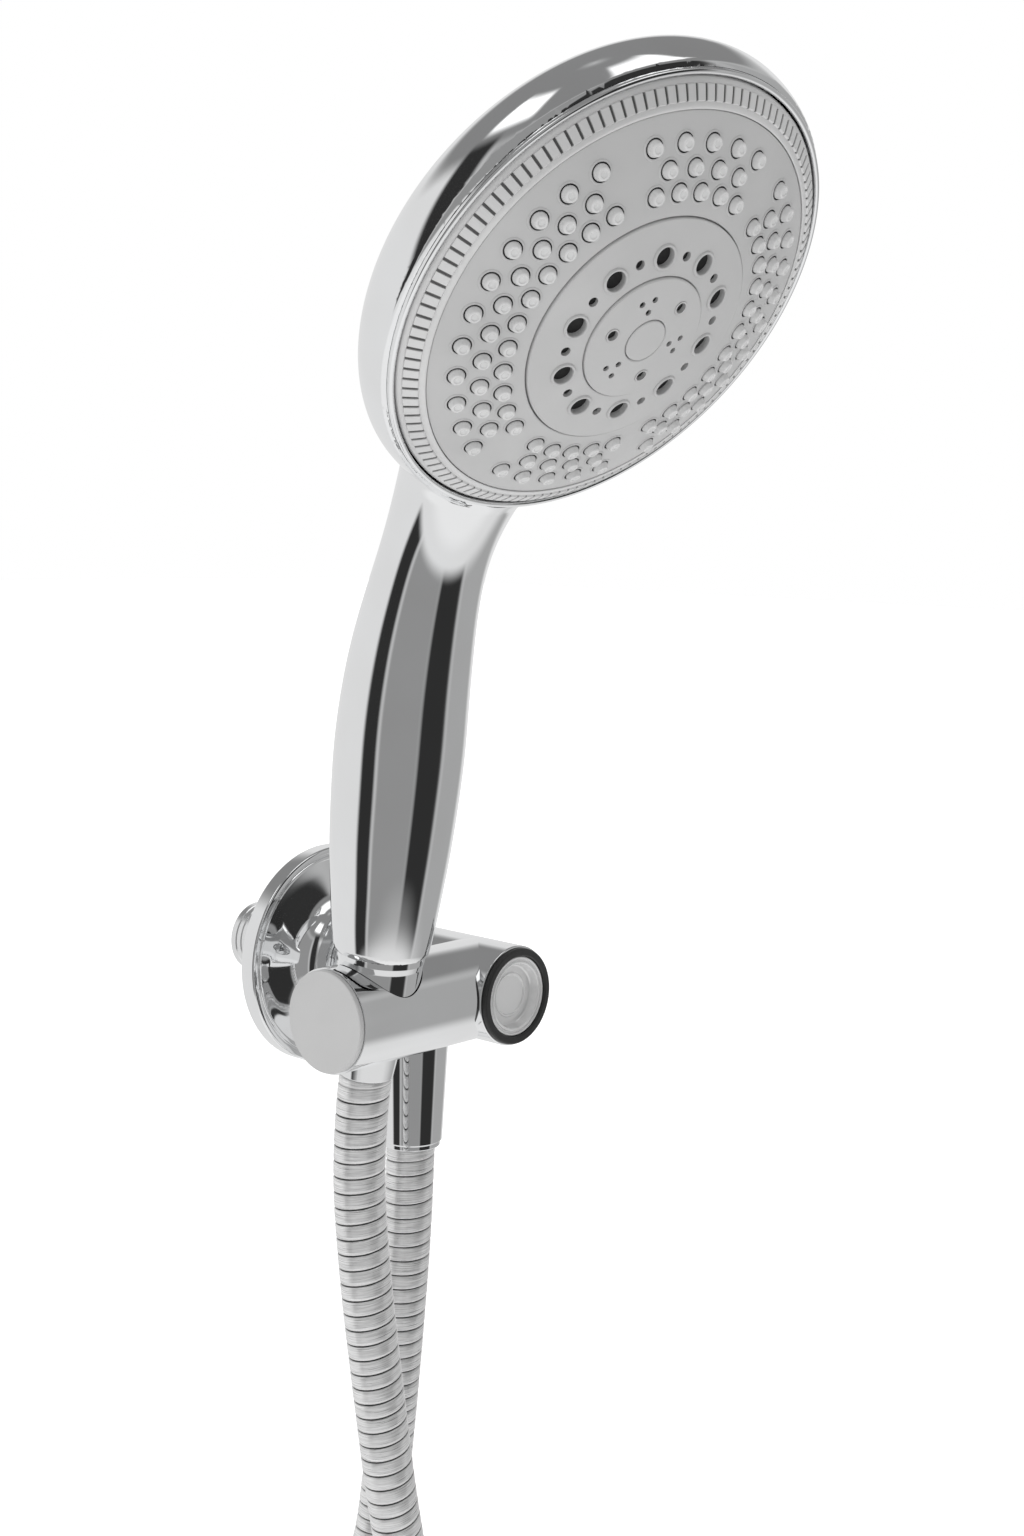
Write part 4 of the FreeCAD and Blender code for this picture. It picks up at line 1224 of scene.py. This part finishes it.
def dome_frame(radius, degrees, lift=0.0):
    """A frame standing on the dome, with Z square to its skin."""
    lean = math.degrees(math.asin(radius / DOME_RADIUS))
    return turn(Z_AXIS, degrees) @ shift(radius, 0, dome(radius, lift)) @ turn(Y_AXIS, lean)


def many(name, places, profile, segments, steps, place, material, body, replaces=(), lift=0.0):
    """One mesh of many small turned shapes standing on the dome."""
    on_axis = profile[0][0] < 1e-6
    points, faces, normals = lathe(filleted(profile, steps), segments, not on_axis)
    all_points, all_faces, all_normals = [], [], []
    for radius, degrees in places:
        matrix = np.array(dome_frame(radius, degrees, lift))
        offset = len(all_points) * len(points)
        all_points.append(points @ matrix[:3, :3].T + matrix[:3, 3])
        all_normals.append(normals @ matrix[:3, :3].T)
        all_faces += [[i + offset for i in face] for face in faces]
    return add_piece(
        name,
        np.concatenate(all_points),
        all_faces,
        place,
        material,
        body,
        replaces,
        np.concatenate(all_normals),
    )


def build_face():
    """Face plate, nubs with a near-black ring of painted shade in the fine gap round each, and the plate's
    inner edge.
    """
    plate = dome_profile(INSERT_RADIUS + 0.2, FACE_RADIUS, 0.0, 2.0, 0.35, 10)
    turned("spray_face", plate, HEAD, "face_grey", "selector", ("face_plate",), 192, 4)
    places = nub_places()
    nub = [(0, -1.2), (1.86, -1.2), (1.86, 0.3, 0.3), (1.42, 1.55, 0.6)]
    nub += [(0.95, 1.62, 0.2), (0.7, 1.4, 0.2), (0, 1.4)]
    many("nozzle_nubs", places, nub, 20, 3, NUBS, "nozzle_rubber", "selector", ("nozzle_mat",))
    # A near-black ring down in each nub's gap: painted shade.
    gap_shade = [(1.86, -0.5), (2.2, -0.5), (2.2, 0.02), (1.86, 0.03)]
    many("nub_gap_shade", places, gap_shade, 20, 1, NUBS, "painted_hole_shade", "selector")
    collar = [(2.2, -0.5), (2.85, -0.5), (2.7, 0.05, 0.1), (2.5, 0.15, 0.1), (2.2, 0.12, 0.05)]
    many("nub_collars", places, collar, 20, 2, NUBS, "face_grey", "selector")


def drills(places, radius, low, high, segments=32):
    """Cylinders square to the dome at the given places, joined in one tool."""
    profile = np.array([(0, low), (radius, low), (radius, high), (0, high)], float)
    points, faces, _ = lathe(profile, segments, False)
    all_points, all_faces = [], []
    for ring_radius, degrees in places:
        matrix = np.array(dome_frame(ring_radius, degrees))
        offset = len(all_points) * len(points)
        all_points.append(points @ matrix[:3, :3].T + matrix[:3, 3])
        all_faces += [[i + offset for i in face] for face in faces]
    return add_piece("drill", np.concatenate(all_points), all_faces, HEAD, "face_grey", None, smooth=False)


def build_inserts():
    """Centre insert with collared jets, the cluster disc and the cap, with near-black discs of painted shade
    down in the holes.
    """
    jets = [(20.4, 36 * i) for i in range(10)]
    between = [(20.4, 36 * i + 18) for i in range(10)]
    lift = 0.35
    profile = dome_profile(CLUSTER_RADIUS + 0.1, INSERT_RADIUS, lift, 2.0, 0.4, 6)
    insert = turned("jet_insert", profile, HEAD, "face_grey", "selector", ("centre_insert",), 160, 4)
    drilled(insert, [drills(jets, 2.35, -5, 3), drills(between, 1.15, -5, 3, 24)], lift)
    collar = [(2.35, -0.9, 0.1), (3.1, -0.9), (3.1, 0.1, 0.2)]
    collar += [(2.85, 0.42, 0.15), (2.5, 0.42, 0.15), (2.35, 0.2, 0.1)]
    many("jet_collars", jets, collar, 32, 3, HEAD, "face_grey", "selector", (), lift)
    # Near-black discs down in the jets' holes: painted shade.
    throat_shade = [(0, -1.9), (2.3, -1.9), (2.3, -1.1, 0.1), (1.9, -1.3, 0.2), (0, -1.5)]
    many("jet_hole_shade", jets, throat_shade, 32, 2, HEAD, "painted_hole_shade", "selector", (), lift)
    small_throat_shade = [(0, -1.7), (1.12, -1.7), (1.12, -0.9, 0.1), (0.8, -1.1, 0.1), (0, -1.2)]
    many("small_jet_hole_shade", between, small_throat_shade, 24, 2, HEAD, "painted_hole_shade", "selector", (), lift)

    lift = 0.8
    tiny = []
    for i in range(3):
        for ring_radius, aside in ((7.8, 0.0), (10.6, -9.0), (10.6, 9.0)):
            tiny.append((ring_radius, 120 * i + aside))
    single = [(10.4, 120 * i + 60) for i in range(3)]
    profile = dome_profile(CAP_RADIUS + 0.12, CLUSTER_RADIUS, lift, 2.0 + lift, 0.45, 5)
    cluster = turned("cluster_disc", profile, HEAD, "face_grey", "selector", ("cluster_insert",), 128, 4)
    drilled(cluster, [drills(tiny, 0.75, -5, 3, 20), drills(single, 1.25, -5, 3, 24)], lift)
    # Near-black discs down in the cluster's holes: painted shade.
    tiny_throat_shade = [(0, -1.3), (0.72, -1.3), (0.72, -0.6, 0.1), (0.5, -0.7, 0.1), (0, -0.8)]
    many("cluster_hole_shade", tiny, tiny_throat_shade, 16, 2, HEAD, "painted_hole_shade", "selector", (), lift)
    single_throat_shade = [(0, -1.5), (1.22, -1.5), (1.22, -0.7, 0.1), (0.9, -0.9, 0.1), (0, -1.0)]
    many("single_hole_shade", single, single_throat_shade, 20, 2, HEAD, "painted_hole_shade", "selector", (), lift)
    small_collar = [(1.26, 0.0), (1.75, 0.0), (1.62, 0.14, 0.08), (1.3, 0.14, 0.05)]
    many("single_collars", single, small_collar, 24, 2, HEAD, "face_grey", "selector", (), lift)
    top = [(0, dome(0, -1.2)), (CAP_RADIUS, dome(CAP_RADIUS, -1.2), 0.1)]
    top += [(CAP_RADIUS, dome(CAP_RADIUS, 0.9), 0.35), (3.0, dome(3.0, 0.9)), (0, dome(0, 0.9))]
    turned("centre_badge", top, HEAD, "face_grey", "selector", ("centre_cap",), 96, 4)


def drilled(piece, tools, lift):
    """Cuts the holes and keeps the dome's skin smooth round them."""
    carve(piece, tools)
    surfaces = [ball_about(DOME_RADIUS + lift, (0, 0, DOME_CENTRE))]
    shade_by(piece, surfaces, HEAD, 0.03)


build_bezel()
build_ring()
build_face()
build_inserts()


# CAD nodes that stay ----------------------------------------------------------

slots = {entry["node"]: entry["material_slot"] for entry in record["subparts"]}
for node, piece in frame["nodes"].items():
    material = MATERIALS[slots[node]]
    if not piece.material_slots:
        piece.data.materials.append(material)
    for holder in piece.material_slots:
        holder.material = material


# Studio -----------------------------------------------------------------------

def build_studio():
    low = cad_box[0]
    mesh = bpy.data.meshes.new("floor")
    size = 12.0
    height = low[2] - 0.02
    mesh.from_pydata(
        [(-size, -size, height), (size, -size, height), (size, size, height), (-size, size, height)],
        [],
        [(0, 1, 2, 3)],
    )
    floor = bpy.data.objects.new("floor", mesh)
    material = moulded_material("floor", 0.9, 0.92, (0.6, 0.7), 0.0, 3.0, 0.0)
    shader = material.node_tree.nodes["Principled BSDF"]
    shader.inputs["Emission Color"].default_value = (1, 1, 1, 1)
    shader.inputs["Emission Strength"].default_value = 0.45
    floor.data.materials.append(material)
    floor.visible_glossy = False
    bpy.context.scene.collection.objects.link(floor)


# A pale room with soft boxes and dark flags, as chrome is lit in a studio: from and to
# bearing, from and to elevation, brightness and edge softness. Bearings are in degrees
# from the camera's side of the object, positive to its right.
CARDS = [
    (-180, 180, 34, 90, 0.25, 14),
    (-180, 180, -90, -50, 0.9, 14),
    (-35, 35, -34, 34, 0.3, 10),
    (-65, -38, -34, 42, 0.03, 8),
    (35, 85, -34, 36, 0.03, 10),
    (85, 150, -34, 34, 0.4, 16),
    (-60, -20, 48, 66, 1.5, 8),
    (35, 95, 52, 74, 1.3, 8),
]
BASE_LEVEL = 0.78
CAMERA_BEARING = 48.6
# The soft key light's direction, in the camera's frame: right, away from it, up.
KEY = (-0.70, -0.36, 0.62)
KEY_STRENGTH = 1.1
FILL_STRENGTH = 0.62


def build_world():
    """White to the camera; in reflections, a white room with flags and softboxes."""
    world = bpy.data.worlds.new("studio")
    bpy.context.scene.world = world
    world.use_nodes = True
    tree = world.node_tree
    nodes = tree.nodes
    links = tree.links
    background = nodes["Background"]

    def maths(operation, a, b=None):
        node = nodes.new("ShaderNodeMath")
        node.operation = operation
        for i, value in enumerate((a, b)):
            if value is None:
                continue
            if isinstance(value, (int, float)):
                node.inputs[i].default_value = value
            else:
                links.new(value, node.inputs[i])
        return node.outputs[0]

    source = nodes.new("ShaderNodeTexCoord")
    bearing_turn = nodes.new("ShaderNodeVectorRotate")
    bearing_turn.rotation_type = "Z_AXIS"
    bearing_turn.inputs["Angle"].default_value = math.radians(CAMERA_BEARING)
    links.new(source.outputs["Generated"], bearing_turn.inputs["Vector"])
    split = nodes.new("ShaderNodeSeparateXYZ")
    links.new(bearing_turn.outputs[0], split.inputs[0])
    x, y, z = split.outputs
    bearing = maths("MULTIPLY", maths("ARCTAN2", x, maths("MULTIPLY", y, -1.0)), 180 / math.pi)
    height = maths("MULTIPLY", maths("ARCSINE", z), 180 / math.pi)

    def band(value, low, high, soft):
        """One within a range, fading to zero over a soft edge."""
        rise = nodes.new("ShaderNodeMapRange")
        fall = nodes.new("ShaderNodeMapRange")
        for node, edge, start, end in ((rise, low, 0, 1), (fall, high, 1, 0)):
            node.interpolation_type = "SMOOTHSTEP"
            node.inputs["From Min"].default_value = edge - soft / 2
            node.inputs["From Max"].default_value = edge + soft / 2
            node.inputs["To Min"].default_value = start
            node.inputs["To Max"].default_value = end
            links.new(value, node.inputs["Value"])
        return maths("MULTIPLY", rise.outputs[0], fall.outputs[0])

    level = BASE_LEVEL
    for from_bearing, to_bearing, from_height, to_height, brightness, soft in CARDS:
        inside = band(height, from_height, to_height, soft)
        if to_bearing - from_bearing < 360:
            inside = maths("MULTIPLY", inside, band(bearing, from_bearing, to_bearing, soft))
        keep = maths("SUBTRACT", 1.0, inside)
        level = maths("ADD", maths("MULTIPLY", keep, level), maths("MULTIPLY", inside, brightness))
    key = maths("ADD", maths("MULTIPLY", x, KEY[0]), maths("MULTIPLY", y, KEY[1]))
    key = maths("MAXIMUM", maths("ADD", key, maths("MULTIPLY", z, KEY[2])), 0.0)
    soft = maths("ADD", maths("MULTIPLY", maths("POWER", key, 3.0), KEY_STRENGTH), FILL_STRENGTH)
    path = nodes.new("ShaderNodeLightPath")
    glossy = path.outputs["Is Glossy Ray"]
    diffuse = path.outputs["Is Diffuse Ray"]
    direct = maths("SUBTRACT", maths("SUBTRACT", 1.0, glossy), diffuse)
    seen = maths("ADD", maths("MULTIPLY", glossy, level), maths("MULTIPLY", diffuse, soft))
    seen = maths("ADD", seen, direct)
    links.new(seen, background.inputs["Color"])
    background.inputs["Strength"].default_value = 1.0


build_studio()
build_world()
bpy.context.scene.view_settings.view_transform = "Standard"
